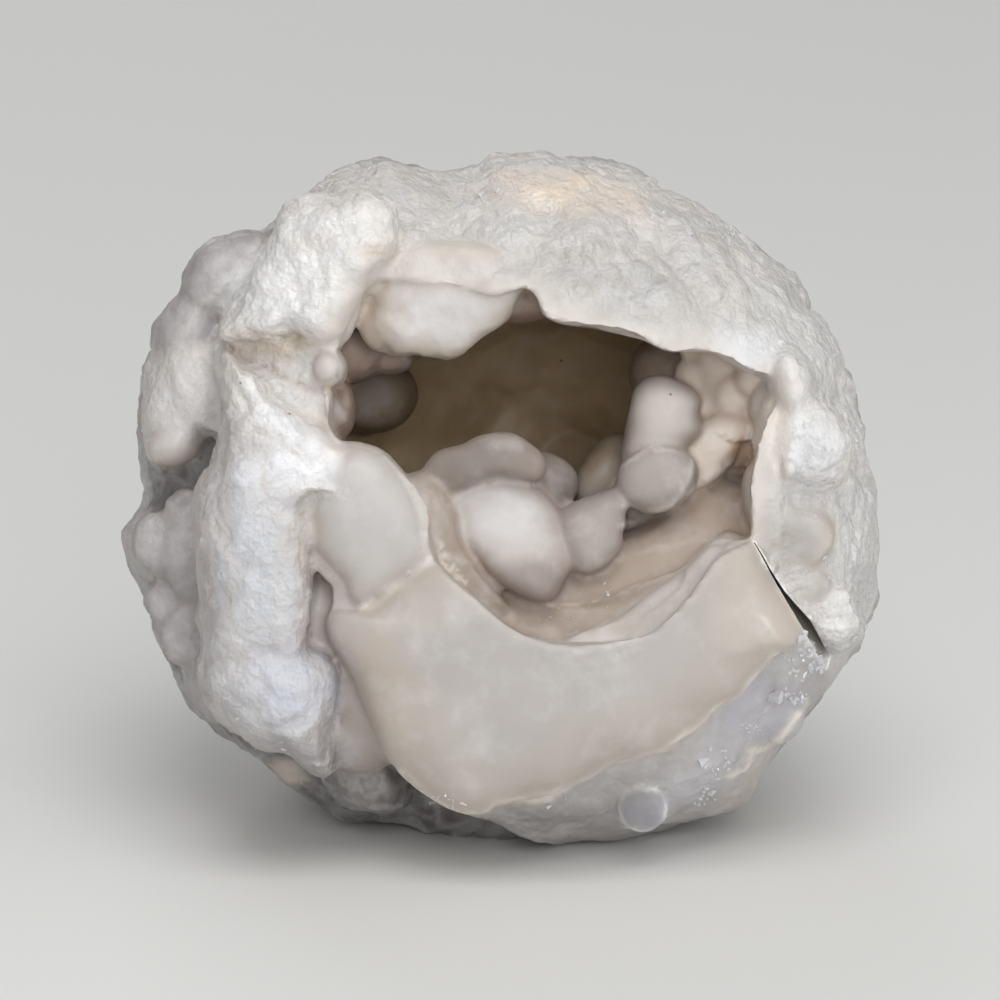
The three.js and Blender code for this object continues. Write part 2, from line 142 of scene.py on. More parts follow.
# The lamps: name, place in metres, the side of the square in metres, and power in watts.
LIGHTS = [
    ("key", (0.05, -0.5, 0.82), 0.6, 3.7),
    ("front", (0.12, -0.95, 0.4), 0.4, 2.5),
    ("side", (0.8, -0.45, 0.3), 0.5, 1.4),
    ("back", (-0.3, 0.9, 0.7), 0.6, 1.6),
]
SKY = (0.83, 0.83, 0.82, 1)
SKY_STRENGTH = 0.46
LENS = 360
SENSOR = 36

# Finishes: the colour of a lump's thick heart and of its margin where it is least thick, as sRGB bytes, then
# how tall its knobs, its grains and its ridges are, in millimetres. Some finishes hold painted shade, marked
# where they stand.
FINISHES = {
    "crust": ((217, 214, 211), (207, 202, 197), 0.8, 0.36, 0.16),
    "frost": ((233, 232, 231), (215, 212, 210), 0.6, 0.42, 0.1),
    "strip": ((180, 176, 176), (167, 162, 162), 0.5, 0.16, 0.14),
    "plate": ((245, 244, 243), (226, 219, 211), 0.8, 0.36, 0.34),
    "milk": ((201, 201, 205), (178, 169, 166), 0.45, 0.3, 0.26),
    "hanging": ((208, 203, 200), (198, 184, 170), 0.5, 0.05, 0.3),
    "wax": ((181, 176, 172), (188, 177, 166), 0.14, 0.0, 0.04),
    "lobe": ((205, 198, 194), (176, 162, 152), 0.06, 0.0, 0.03),
    "core": ((184, 176, 171), (164, 150, 141), 0.06, 0.0, 0.04),
    "cap": ((129, 118, 110), (160, 147, 138), 0.06, 0.0, 0.06),
    "lilac": ((162, 152, 147), (158, 147, 141), 0.06, 0.0, 0.03),
    # The hollow's floor: its own brown, darkened further as painted shade where it lies in shadow.
    "bowl_painted_shade": ((172, 155, 142), (160, 143, 130), 0.12, 0.0, 0.06),
    "ledge": ((196, 187, 179), (208, 200, 193), 0.1, 0.0, 0.05),
    "lip": ((148, 132, 118), (170, 155, 142), 0.1, 0.05, 0.1),
    "wall": ((224, 210, 198), (210, 195, 182), 0.2, 0.02, 0.08),
    # Painted shade: walls and roof inside the hollow, darkened where they lie in shadow.
    "painted_shade_dim": ((158, 137, 123), (140, 118, 104), 0.1, 0.0, 0.08),
    # Painted shade: the darkest, for the deep recess at the left of the hollow.
    "shade": ((146, 130, 112), (128, 110, 90), 0.2, 0.0, 0.08),
    "cave": ((218, 196, 162), (202, 178, 142), 1.1, 0.0, 0.12),
    "sunk": ((172, 168, 169), (146, 139, 138), 0.5, 0.16, 0.3),
    "glass": ((150, 148, 152), (182, 180, 183), 0.1, 0.0, 0.05),
    "recess": ((168, 163, 164), (140, 133, 132), 0.6, 0.16, 0.3),
    "pale": ((216, 212, 210), (198, 190, 184), 0.6, 0.24, 0.26),
    # Painted shade: the sunken shell low on the stone, painted dark where shadow falls beneath it.
    "painted_shade_under": ((94, 89, 90), (83, 78, 79), 0.7, 0.24, 0.3),
}

# The nodule's big surfaces.
SHELL = dict(at=(0, 0), edge=SILHOUETTE, front=27, back=34, fullness=0.77, back_fullness=1, finish="crust")
# The sunken shell takes the finish that is painted dark as shade.
SUNKEN = dict(at=(0, 0), edge=SILHOUETTE, front=12, back=34, fullness=0.85, back_fullness=1, finish="painted_shade_under")
HOLLOW = dict(at=(4, 5), radii=(22, 17), front=19, back=27, finish="cave")


def recipe(name, at, front, thick, finish, **more):
    """A lump's name, centre, how far it stands out, its thickness and finish, then its outline or radii."""
    return dict(name=name, at=at, front=front, thick=thick, finish=finish, **more)


# Lumps on the front.
FRONT_LUMPS = [
    recipe("band", (5, -16.5), 28.2, 17, "wax", fullness=0.5, lean=(-0.02, 0.16), cut_by_mouth=True, edge=[
        (-16.3, -10.1), (-17.2, -11), (-17.3, -12.5), (-16.3, -14.5), (-14.6, -16.8), (-13.2, -20.3),
        (-12.4, -22.6), (-11.7, -24.4), (-10, -26.2), (-7.2, -28.6), (-4, -30.2), (-2, -30.2), (1.4, -29),
        (4.6, -28.5), (8.3, -26.9), (11, -25.4), (15.4, -24.4), (18.4, -22.7), (20.7, -20.3), (23.4, -18.6),
        (26.7, -14.6), (29.6, -13.6), (29, -11.6), (26.6, -7.6), (24.4, -3.6), (20, -3), (12, -5), (5, -7),
        (-2, -6), (-6.6, -5.4), (-10.3, -7.6), (-13.2, -10), (-14.9, -10.2)]),
    recipe("flap", (-20, 22), 25.6, 16, "plate", fullness=0.62, lean=(0.22, -0.12), edge=[
        (-20.9, 29.5), (-23.2, 25), (-26.3, 20.4), (-28.2, 17.4), (-27.6, 15.6), (-24, 15.2), (-20.4, 16.6),
        (-18, 15), (-15.6, 15.9), (-13.6, 19.4), (-11.8, 21.9), (-9.6, 26), (-12, 31)]),
    recipe("hanging_lobe", (-4, 20), 22.6, 9, "hanging", fullness=0.44, lean=(0, 0.1), edge=[
        (-12.4, 21), (-12.9, 17.6), (-11.9, 15.6), (-10.8, 14.5), (-8.6, 14.6), (-6.2, 14.2), (-4.2, 14.4),
        (-2.3, 15.8), (0.4, 17.9), (1.3, 19.6), (2.4, 22), (0, 25), (-9, 25)]),
    recipe("hanging_bud", (-11.6, 18), 20.6, 7, "wall", radii=(2.6, 3.2)),
    recipe("corner_bud", (-17, 13.1), 26, 12, "lobe", radii=(1.95, 2.1), fullness=0.8),
    recipe("corner_fold", (-19.6, 10.8), 22.4, 8, "lobe", radii=(5.4, 1.7), turn=-32),
    recipe("left_plate", (-31, 9), 14.6, 16, "pale", fullness=0.75, lean=(0.35, 0), edge=[
        (-27.6, 15.4), (-27.4, 5.2), (-28.6, 6.6), (-30.2, 4.6), (-34.3, 3.8), (-35.8, 7), (-35.4, 12),
        (-32.8, 17)]),
    recipe("left_tongue", (-32.2, 5.9), 14.4, 8, "lobe", radii=(3, 2.2), turn=20),
    recipe("column", (-24.8, -5), 28.2, 22, "milk", fullness=0.8, lean=(0.05, 0.05), edge=[
        (-27.5, 15), (-27.7, 9), (-28.1, 5), (-29.3, 2.9), (-30.1, 0.8), (-30.3, -2.2), (-30.2, -6),
        (-29.7, -9.7), (-29.9, -11.1), (-29.2, -13.4), (-29.8, -15.6), (-29, -19.5), (-24, -24),
        (-18.4, -22), (-17, -18), (-18.3, -14.5), (-18.2, -10), (-18.2, -6.3), (-19, -2), (-18.6, 4),
        (-20, 8), (-23.6, 13.5)]),
    recipe("column_foot", (-23, -19.5), 27.4, 17, "milk", fullness=0.85, lean=(0.05, 0.22), edge=[
        (-29.9, -15.4), (-29.6, -18.2), (-28.5, -20.3), (-26.2, -22.8), (-23.7, -24.2), (-20.9, -25.1),
        (-19, -26.4), (-17.8, -27), (-16.5, -26.4), (-16.3, -22), (-16.1, -19), (-16.1, -16), (-18, -14),
        (-24, -12)]),
    recipe("column_rim", (-28.2, -4.4), 24.6, 9, "lobe", radii=(2, 8), turn=3),
    recipe("column_core", (-23, -6), 28.8, 12, "milk", fullness=0.62, lean=(0.05, 0.08), edge=[
        (-26.4, 9), (-27.4, 3), (-27.8, -2), (-27, -6), (-27.4, -9), (-28.4, -12), (-28.6, -16),
        (-24, -18.4), (-19.4, -16), (-18.5, -10), (-18.5, -6), (-18.5, -2), (-19.6, 3), (-22.5, 9)]),
    recipe("slit_wall", (-17.2, -10.6), 22.4, 13, "lobe", radii=(2.4, 6.4), turn=-2),
    recipe("curtain", (-14.4, -20), 21, 13, "lilac", fullness=0.7, lean=(0, 0.2), edge=[
        (-16.8, -12), (-16.4, -18), (-16.6, -22), (-16.9, -25.6), (-14.6, -26.6), (-12.2, -26.2),
        (-10.4, -25), (-11.6, -20), (-13.4, -15), (-15, -12)]),
    recipe("arm", (-20.6, 4.6), 28.4, 15, "plate", fullness=0.7, lean=(0.02, 0.1), edge=[
        (-27, 14.8), (-24.2, 12.8), (-20, 9.8), (-17, 8), (-15.3, 6), (-13.6, 5.2), (-13, 1), (-17, -2.4),
        (-21.6, -2.4), (-26, 0), (-27, 6)]),
    recipe("shoulder", (-12.4, -2.4), 28.6, 15, "wax", fullness=0.56, lean=(-0.02, 0.08), edge=[
        (-15.6, 6), (-12.4, 5.6), (-11.2, 4.9), (-8.5, 1.5), (-7.3, -1), (-6.8, -3.6), (-6.4, -6.2),
        (-9.8, -8.8), (-12.8, -10.9), (-14.9, -10.1), (-15.5, -8.1), (-17, -6.3), (-18.8, -4), (-19, -2),
        (-18.4, 3)]),
    recipe("arm_knob_left", (-23, -0.2), 29.2, 5, "plate", radii=(2.2, 1.5)),
    recipe("arm_knob_low", (-20.8, -1.4), 29, 5, "plate", radii=(1.8, 1.1)),
    recipe("arm_knob_middle", (-18.9, 1.3), 29.2, 5, "plate", radii=(2.4, 1.1), turn=8),
    recipe("arm_knob_right", (-16.2, 1.1), 29, 5, "plate", radii=(2, 0.9), turn=-6),
    recipe("right_ridge", (28.4, 11.4), 22.4, 12, "frost", radii=(2.4, 4.6), turn=8),
    recipe("right_crown", (29.4, 5.2), 22.6, 15, "plate", radii=(4.9, 5.6), turn=-10, fullness=0.85),
    recipe("right_belly", (28.7, -3.2), 21.3, 12, "hanging", fullness=0.46, edge=[
        (24.4, -1.4), (26.4, -0.3), (29, 0.3), (31.9, -0.7), (32.7, -4.1), (31, -6.4), (29, -6.6),
        (27.7, -7.4), (26, -6), (25, -3.7)]),
    recipe("right_inner", (26, 0.4), 19.6, 10, "lobe", radii=(2.4, 4.2), turn=10),
    recipe("crown_knob", (28.1, 3.3), 24, 4, "plate", radii=(1, 1.1)),
    recipe("crown_margin", (26.9, 6.6), 20.8, 9, "hanging", radii=(2, 4.6), turn=6),
    recipe("foot_lobe", (30.6, -8.2), 19.2, 7, "wax", radii=(2, 1.8), fullness=0.5),
    recipe("foot_knob", (33.5, -9.5), 18.2, 4, "plate", radii=(1.1, 1.1)),
    recipe("right_foot", (32, -10.4), 18.6, 13, "frost", radii=(3.4, 4.8), turn=32, fullness=0.85),
    recipe("bead", (13.8, -30), 18.5, 8, "glass", radii=(2.4, 2.2), fullness=0.5),
    recipe("bead_right", (27.6, -21.2), 14.4, 8, "glass", radii=(2.2, 2.6), turn=-30, fullness=0.5),
    recipe("sunk_top", (-27, 22.4), 13.4, 12, "sunk", radii=(5.6, 4), turn=40, fullness=0.7),
    recipe("sunk_wall", (-31, 17), 12.6, 12, "sunk", radii=(3.4, 4.6), turn=-20, fullness=0.7),
    recipe("sunk_ear", (-34.4, -4.2), 9.6, 14, "recess", radii=(3.2, 4), turn=10),
    recipe("sunk_ear_inner", (-31.4, -4.6), 10.6, 10, "recess", radii=(2.6, 4.4)),
    recipe("sunk_petal", (-33.9, -4), 10.6, 4, "recess", radii=(2.6, 3.6), turn=8, fullness=0.5),
    recipe("sunk_blade", (-31, -5.4), 11.3, 4, "recess", radii=(2.6, 5), turn=4, fullness=0.5),
    recipe("sunk_knob", (-33.4, -9.8), 10.2, 4, "recess", radii=(2.4, 2.2), fullness=0.5),
    recipe("sunk_fold", (-31.4, -13), 11, 4, "recess", radii=(2.6, 3.6), turn=-10, fullness=0.5),
    recipe("sunk_brow", (-31, -0.8), 10.8, 4, "recess", radii=(2.8, 2.6), fullness=0.5),
    recipe("sunk_chin", (-32.2, -11.6), 10.4, 11, "recess", radii=(3, 3.4), turn=20),
    recipe("sunk_heel", (-28.4, -18), 12, 11, "recess", radii=(3, 4.4), turn=28),
    # Painted shade: the toe low on the front is painted dark.
    recipe("sunk_toe", (-13.6, -27.4), 12.8, 10, "painted_shade_under", radii=(5, 3), turn=-24),
]

# Lumps inside the hollow, from the ones nearest the mouth to the back.
INNER_LUMPS = [
    # The hollow's floor: its own brown, darkened further as painted shade.
    recipe("floor", (9, -11), 19, 36, "bowl_painted_shade", fullness=0.45, lean=(0.1, -0.5), edge=[
        (-10, -6), (-6, -14), (2, -20), (14, -20), (25, -12), (28, -4), (26, 2), (22.4, 4.6), (17.4, 0.6),
        (11.6, -2), (5, -4), (-2, -2), (-7, -1)]),
    recipe("ledge_front", (20, -8.5), 26.2, 9, "ledge", fullness=0.45, edge=[
        (13.4, -13.2), (16.1, -11.2), (17.9, -8.9), (19.9, -6.1), (22.6, -3.7), (26, -5), (23, -11),
        (17, -15)]),
    recipe("ledge_middle", (18.4, -9), 25, 9, "ledge", fullness=0.45, edge=[
        (11.6, -13.2), (12.4, -12.2), (13.8, -10.9), (17.1, -8.1), (18.1, -6.2), (20.5, -4), (25, -5),
        (21, -11), (15, -15)]),
    recipe("ledge_back", (16, -10.5), 23.6, 9, "ledge", fullness=0.45, edge=[
        (5.5, -13.3), (8.6, -12.4), (11.5, -11), (13.6, -9.5), (18.2, -6.2), (21, -3.4), (25, -5),
        (20, -12), (12, -16)]),
    # Its own brown, darkened further as painted shade, as on the hollow's floor.
    recipe("ledge_inner", (14, -11), 20.6, 10, "bowl_painted_shade", fullness=0.45, lean=(0.12, -0.2), edge=[
        (3, -10.2), (7.3, -9.8), (11.1, -9), (15.6, -7.2), (18.6, -5.8), (22, -2.6), (25, -5), (20, -13),
        (8, -16)]),
    recipe("inner_lip", (-5, -4.6), 20.6, 14, "lip", fullness=0.6, edge=[
        (-9, 3), (-6.6, 2.8), (-4.6, 0), (-3.4, -4), (-1, -8), (1.6, -11), (-2.4, -12), (-6.6, -8),
        (-9.4, -2)]),
    recipe("shelf", (18.4, 3), 14.6, 18, "wall", fullness=0.5, lean=(0.1, 0.1), edge=[
        (11.6, -2.2), (13.3, -1.7), (16.6, -0.7), (18.9, 0.6), (20.7, 1.6), (22.8, 4.2), (25, 8), (22, 9.4),
        (18, 7), (14, 4), (11, 1)]),
    recipe("finger_cap", (-1.7, 3.7), 19, 6.4, "cap", fullness=0.62, edge=[
        (-7.9, 2.8), (-7.6, 3.8), (-6.3, 5.2), (-3.8, 5.9), (-2.4, 6.6), (-0.4, 7), (1.2, 6.9), (2.7, 6),
        (3.9, 5), (4.4, 3.9), (4.2, 2.7), (3.3, 2.1), (0, 2.6), (-2.8, 1.7), (-5.5, 0.8), (-7, 1.3)]),
    recipe("finger_knuckle", (4.6, 2), 15, 7, "cap", radii=(3.2, 2.9), turn=-40),
    recipe("finger", (0.8, -3.4), 20.2, 9, "core", fullness=0.6, lean=(0, -0.45), edge=[
        (-5.5, 1.2), (-5.4, -1.3), (-4.8, -3.4), (-3.2, -4.9), (-1.7, -6.4), (0.2, -8.1), (2.3, -9.3),
        (4, -9.7), (5.2, -9.3), (6, -8), (6.7, -6.4), (7, -3.6), (6, -1), (3.6, 1.6), (0, 2.9), (-3, 2.4)]),
    recipe("finger_bead", (8.9, -2.8), 19.8, 6.4, "lilac", fullness=0.62, lean=(0, -0.3), edge=[
        (5.6, -1), (7, 0.1), (9, 0.9), (10.8, 1.4), (11.9, 0.6), (12.2, -0.9), (11.9, -2.8), (11.8, -4.3),
        (10.8, -5.6), (9.6, -6.6), (8.2, -6.9), (6.9, -6.3), (5.9, -4.6), (5.3, -2.8)]),
    recipe("thumb", (16.2, 8), 17.6, 9, "core", fullness=0.6, lean=(0, 0.06), edge=[
        (12.6, 9.4), (13, 11.2), (14, 12.3), (15.3, 12.7), (17, 12.3), (18.8, 11.4), (19.6, 10.2),
        (19.4, 9), (19.8, 7.2), (19, 6.2), (17.8, 5.2), (16, 3.6), (13, 3), (11.8, 4), (12.2, 7)]),
    recipe("thumb_base", (15.2, 2.5), 18.8, 8, "lilac", radii=(4.1, 3.2), turn=20, fullness=0.52),
    recipe("wall_right", (22.6, 8.8), 12.4, 14, "wall", radii=(4.8, 5.6), fullness=0.44),
    # The curtain at the back of the right wall is darkened as painted shade.
    recipe("wall_right_curtain", (17.6, 13), 8, 16, "painted_shade_dim", radii=(4.9, 4.4), fullness=0.6),
    recipe("wall_right_top", (18.6, 12.8), 12, 7, "wall", radii=(2, 1.7), turn=-20, fullness=0.6),
    recipe("wall_right_petal", (22.8, 10.6), 13.2, 3, "wall", radii=(1.9, 2), fullness=0.6),
    recipe("wall_right_nook", (21.2, 13.4), 12.4, 7, "wall", radii=(2.6, 2), turn=-20, fullness=0.6),
    recipe("wall_right_corner", (25.4, 12), 15, 9, "wall", radii=(2.6, 2), fullness=0.6),
    recipe("wall_right_edge", (26, 9.6), 17, 9, "hanging", radii=(1.6, 2.4), fullness=0.7),
    recipe("wall_right_low", (21.2, 5), 14.2, 5, "lilac", radii=(2, 1.7), fullness=0.6),
    recipe("wall_right_back", (20.6, 7.4), 8, 18, "wall", radii=(6.9, 9.4), fullness=0.7),
    # Painted shade: the left wall, its top and its petal are darkened.
    recipe("wall_left", (-15.4, 15.2), 14, 14, "painted_shade_dim", radii=(4.4, 3.4), fullness=0.7),
    recipe("wall_left_top", (-11.6, 14.6), 12, 9, "painted_shade_dim", radii=(3, 1.9), turn=-8, fullness=0.6),
    recipe("wall_left_petal", (-15.5, 9.3), 18, 10, "painted_shade_dim", radii=(1.1, 2.7)),
    # Painted shade: the deep recess at the left of the hollow is painted darkest.
    recipe("wall_left_deep", (-13.4, 11), -3, 14, "shade", radii=(5, 4), fullness=0.5),
    # Painted shade: the roof over the hollow and its left end are darkened.
    recipe("roof", (9, 20), 14, 12, "painted_shade_dim", radii=(6, 2.6), turn=-8),
    recipe("roof_left", (1.8, 20), 16, 10, "painted_shade_dim", radii=(4.4, 2.1)),
    recipe("back_cusp", (10.2, 3), 6, 8, "wall", radii=(2.6, 4.4), turn=-28),
]

# Patches of another colour on the stone, some of them painted shade: centre, radii, turn in degrees, the
# range of depth that they cover, the colour as sRGB bytes, and how much of it shows.
PATCHES = [
    ((7, 30.3), (7.6, 2.1), -8, (4, 40), (238, 216, 192), 0.8),
    ((1.4, 34.4), (2.8, 1.1), 0, (-1, 4), (190, 150, 104), 0.6),
    ((-12.4, 24.6), (1.9, 0.7), 0, (10, 40), (222, 200, 182), 0.7),
    ((-16.6, 31.2), (2.8, 1.9), 30, (5, 40), (204, 194, 184), 0.7),
    ((16.7, 29.1), (2.8, 1.4), -20, (5, 40), (196, 192, 188), 0.7),
    ((20.2, 26.4), (2.8, 1.1), -34, (5, 40), (190, 184, 176), 0.7),
    ((18.5, 23.9), (2.6, 1.7), -20, (5, 40), (210, 208, 207), 0.7),
    ((28.4, 21.8), (1.7, 2.2), 30, (0, 40), (190, 186, 182), 0.6),
    ((5.4, 33.6), (2.6, 1.2), 0, (-6, 40), (206, 206, 208), 0.6),
    ((24.4, 15.4), (3.2, 2), -20, (15, 40), (236, 238, 243), 0.7),
    ((-22.6, 20.7), (3.6, 4.2), -40, (10, 40), (247, 248, 250), 0.8),
    ((-20.2, 15.6), (1.5, 1), 20, (10, 40), (182, 160, 118), 0.85),
    ((-23.6, 15.5), (3, 1), -20, (10, 40), (226, 205, 176), 0.6),
    ((-18.6, 25.6), (2.4, 1), 20, (10, 40), (228, 212, 200), 0.5),
    ((-5.5, 18), (3, 2), -20, (15, 24), (211, 208, 208), 0.8),
    ((-20.6, 7.6), (4.4, 1.4), -38, (18, 40), (243, 244, 248), 0.8),
    ((-20.8, 3), (4.6, 1.8), 4, (18, 40), (244, 246, 252), 0.8),
    ((-23.6, -6), (2.2, 8), 2, (20, 40), (204, 207, 215), 0.7),
    ((-20.2, -17.8), (4.2, 3.2), 10, (18, 40), (198, 203, 219), 0.85),
    ((-19, -24.4), (4, 2.2), -30, (14, 40), (140, 135, 138), 0.85),
    ((-28.8, -13), (1.4, 6), 0, (14, 40), (178, 170, 170), 0.7),
    ((-29.2, -3), (1.3, 7), 3, (14, 40), (176, 165, 160), 0.75),
    ((-18.8, -4.4), (2.6, 1.8), -20, (18, 40), (202, 192, 184), 0.6),
    ((-26.4, -17), (2.2, 3.2), 20, (14, 40), (178, 175, 180), 0.55),
    ((-16.2, -5.8), (1.4, 2.6), -40, (18, 40), (192, 181, 173), 0.5),
    ((-12.6, -1.4), (4.4, 5.4), -20, (18, 40), (193, 190, 188), 0.8),
    # Painted shade: the low part of the hollow and the notch behind the finger are darkened.
    ((8, 5.6), (5, 3.4), 0, (-29, 6), (158, 132, 98), 0.7),
    ((-4, 8.4), (6.5, 3.4), 0, (-29, 4), (150, 122, 84), 0.6),
    ((-16.9, 8.6), (0.9, 1.2), 10, (14, 40), (168, 152, 144), 0.7),
    ((11, 22), (9, 3.6), -14, (10, 40), (172, 168, 164), 0.7),
    ((0.4, -1.4), (3.6, 2.9), -24, (14, 26), (208, 206, 206), 0.8),
    ((15.4, 9.6), (2.6, 2.4), 0, (12, 22), (212, 205, 200), 0.8),
    ((23.9, 4.7), (1.3, 1.1), 0, (4, 19), (186, 148, 108), 0.6),
    ((29.7, 4.4), (3, 3.8), -8, (16, 40), (237, 239, 245), 0.8),
    ((27, 6), (1.2, 4.6), 6, (16, 40), (224, 208, 190), 0.5),
    ((28.6, -3.2), (3.2, 3.2), 0, (16, 40), (164, 159, 154), 0.8),
    ((-12, -17), (3, 8), 24, (18, 40), (194, 180, 167), 0.5),
    ((25, -12), (5, 4.4), 30, (20, 40), (198, 185, 174), 0.4),
    ((12, -22), (8, 2.4), 16, (18, 40), (190, 178, 167), 0.3),
    ((24.6, -20.6), (3, 4), -40, (0, 21), (186, 186, 198), 0.6),
    # Painted shade: the shell at the bottom, beneath the band's lower edge, is darkened.
    ((4, -31), (6, 1.6), 4, (0, 21), (130, 125, 125), 0.85),
    ((19, -27), (4, 2), 30, (0, 21), (196, 194, 200), 0.6),
    ((13.9, -30.2), (1.6, 1.4), 0, (10, 30), (130, 128, 133), 0.85),
    ((27.6, -21.6), (1.3, 1.5), -30, (5, 30), (170, 168, 172), 0.6),
    ((4, -7.6), (3, 1.9), -20, (12, 26), (143, 130, 124), 0.9),
    ((24, -27), (4, 3), 40, (-10, 12), (196, 184, 176), 0.6),
    ((-15.6, -11.6), (2, 3), 0, (18, 40), (190, 180, 180), 0.6),
    ((-21.5, -26.8), (1.6, 1.1), -20, (-10, 40), (232, 218, 200), 0.8),
]

# Some pale lines along the edges of lumps are painted highlights, and the dark line between flap and arm is
# painted shade.
# Fine pale or dark lines on the stone: points, the range of depth, half width, colour, and how far they rise.
VEINS_AND_PAINTED_LIGHT = [
    # Painted highlight along the edge where the shoulder meets the band.
    ([(-14, -10.2), (-12.6, -9.4), (-10.3, -7.6), (-6.8, -5.3)], (22, 40), 0.13, (222, 218, 214), 0.04),
    ([(11.8, 3.6), (14.6, 5.5), (18.7, 4.7), (18.5, 2.4), (16.6, -0.1), (14.1, -0.8), (11.8, -0.3)],
     (11, 24), 0.18, (206, 197, 191), 0.06),
    ([(16.6, -0.1), (19.4, 2), (22.4, 3.9)], (6, 22), 0.2, (222, 214, 208), 0.15),
    ([(11.8, -2.2), (14.3, -1.1), (16.8, -0.4), (18.7, 1.2), (21.4, 3), (23.2, 4)],
     (4, 20), 0.22, (218, 209, 203), 0.2),
    ([(21.2, 6.9), (22.6, 6), (24.3, 5.8)], (6, 20), 0.16, (150, 112, 82), -0.1),
    ([(4, -9.9), (7.3, -9.9), (11.1, -9.2), (15.6, -7.4), (18.3, -6.3)],
     (10, 24), 0.16, (208, 196, 186), 0.12),
    ([(7, -14.6), (10, -14.1), (12.8, -13.1)], (18, 40), 0.12, (196, 191, 187), 0.02),
    ([(8, -15.7), (10.6, -15.2), (13.4, -13.9)], (18, 40), 0.12, (196, 191, 187), 0.02),
    ([(-7.6, 0.9), (-7, -4), (-3.5, -9)], (14, 24), 0.16, (208, 196, 186), 0.1),
    ([(-26.6, 12), (-23, 6), (-22.8, 1)], (16, 40), 0.2, (214, 207, 202), -0.1),
    ([(-26.9, 3), (-26.6, -1), (-27.2, -4), (-26.2, -7), (-26.8, -10), (-25.8, -14.5)],
     (16, 40), 0.3, (206, 199, 196), 0),
    ([(-25.2, -20.7), (-23.5, -21.9), (-20.1, -22.5), (-16.8, -20.4)],
     (14, 40), 0.2, (216, 217, 223), 0.12),
    # Painted highlight along the band's lower edge.
    ([(-10, -26.2), (-7.2, -28.7), (-4, -30.3), (-2, -30.3), (-0.7, -29.2), (1.4, -28.9), (4.6, -28.5),
      (8.3, -26.9), (11, -25.4), (12.7, -25), (15.7, -24), (18.4, -22.2), (20.7, -20.3), (23.4, -18.6),
      (26.6, -14.6)],
     (14, 26), 0.3, (232, 222, 210), 0.15),
    ([(11.4, -30), (12.2, -31.8), (13.8, -32.3), (15.6, -31.8), (16.2, -30), (15.4, -28.3), (13.8, -27.7),
      (12.2, -28.2), (11.4, -30)],
     (10, 30), 0.16, (238, 237, 239), 0.12),
    ([(22.4, -27), (24, -26.2), (24.6, -24.4), (27.4, -23.2), (30, -19.6)],
     (4, 24), 0.3, (226, 216, 204), 0.2),
    ([(24.3, -3.6), (26.2, -6.6), (27.6, -9.6), (29.6, -12.6)], (18, 40), 0.22, (226, 210, 190), 0.05),
    ([(28.6, -15.6), (25.6, -11.4), (24.4, -10.4)], (22, 40), 0.16, (222, 218, 212), 0.06),
    ([(-6.4, -3.2), (-5, -5.6), (-3.5, -8)], (14, 28), 0.08, (216, 208, 202), 0.03),
    # Painted shade: a darker line in the groove between the flap and the arm.
    ([(-27.8, 15.8), (-22.8, 13.3), (-20.6, 12), (-18.2, 11.1), (-16, 11.2)],
     (12, 40), 0.22, (172, 154, 138), -0.35),
]

# Where small crystals glitter: a centre and radii in the mouth's plane, how many there are, and their size
# in millimetres.
GLITTER = [
    ((30, -15.6), (2, 2.6), 34, 1.3),
    ((28.4, -19.4), (2, 0.9), 20, 1.2),
    ((24.4, -22.6), (1.2, 0.9), 10, 1),
    ((21.4, -25.6), (1.2, 1.8), 16, 1),
    ((20.2, -29), (1.6, 1.2), 12, 0.9),
    ((6, -29.2), (3, 1), 12, 0.5),
    ((-5, -29.4), (2, 0.9), 26, 0.6),
    ((-1.6, 30.2), (3.6, 1.6), 40, 0.6),
    ((-1, 28), (5, 1.6), 16, 0.4),
    ((5.6, 28.6), (3, 1), 12, 0.5),
    ((20.6, 26), (4, 1.2), 26, 0.6),
    ((13, 25), (9, 5), 16, 0.4),
    ((32, 8), (4, 11), 90, 0.5),
    ((34, -8), (2.4, 7), 50, 0.45),
    ((-17, 30), (6, 4), 12, 0.5),
    ((-24, -23), (5, 2), 24, 0.5),
    ((-33, 8), (3, 4), 12, 0.4),
    ((11, -9.6), (4, 1.4), 12, 0.3),
    ((5.6, -11.4), (2, 0.9), 14, 0.3),
]


def linear(colour):
    """An sRGB colour given in bytes, as linear numbers."""
    return tuple((c / 255 / 12.92) if c <= 10 else ((c / 255 + 0.055) / 1.055) ** 2.4 for c in colour)


class NoduleSizes(bpy.types.PropertyGroup):
    mouth_tilt: bpy.props.FloatProperty(
        name="Mouth tilt", description="How far the mouth looks up", default=math.radians(14),
        subtype="ANGLE", unit="ROTATION")
    centre_height: bpy.props.FloatProperty(
        name="Centre height", description="The nodule's centre above what it rests on", default=31.6 * MM,
        subtype="DISTANCE", unit="LENGTH")
    knob_count: bpy.props.IntProperty(
        name="Knobs", description="How many knobs the rind has", default=90)
    knob_height: bpy.props.FloatProperty(
        name="Knob height", description="How far a knob of the rind stands out", default=2 * MM,
        subtype="DISTANCE", unit="LENGTH")
    knob_angle: bpy.props.FloatProperty(
        name="Knob angle", description="From a knob's crown to its foot, seen from the centre", default=0.27,
        subtype="ANGLE", unit="ROTATION")
    voxel: bpy.props.FloatProperty(
        name="Mesh step", description="The edge of the mesh's faces in front", default=0.38 * MM,
        subtype="DISTANCE", unit="LENGTH")
    most_faces: bpy.props.IntProperty(
        name="Most faces", description="The most triangles that the stone has", default=194000)
    crystal_sink: bpy.props.FloatProperty(
        name="Crystal sink", description="The share of its length by which a crystal sits below its middle",
        default=0.32)


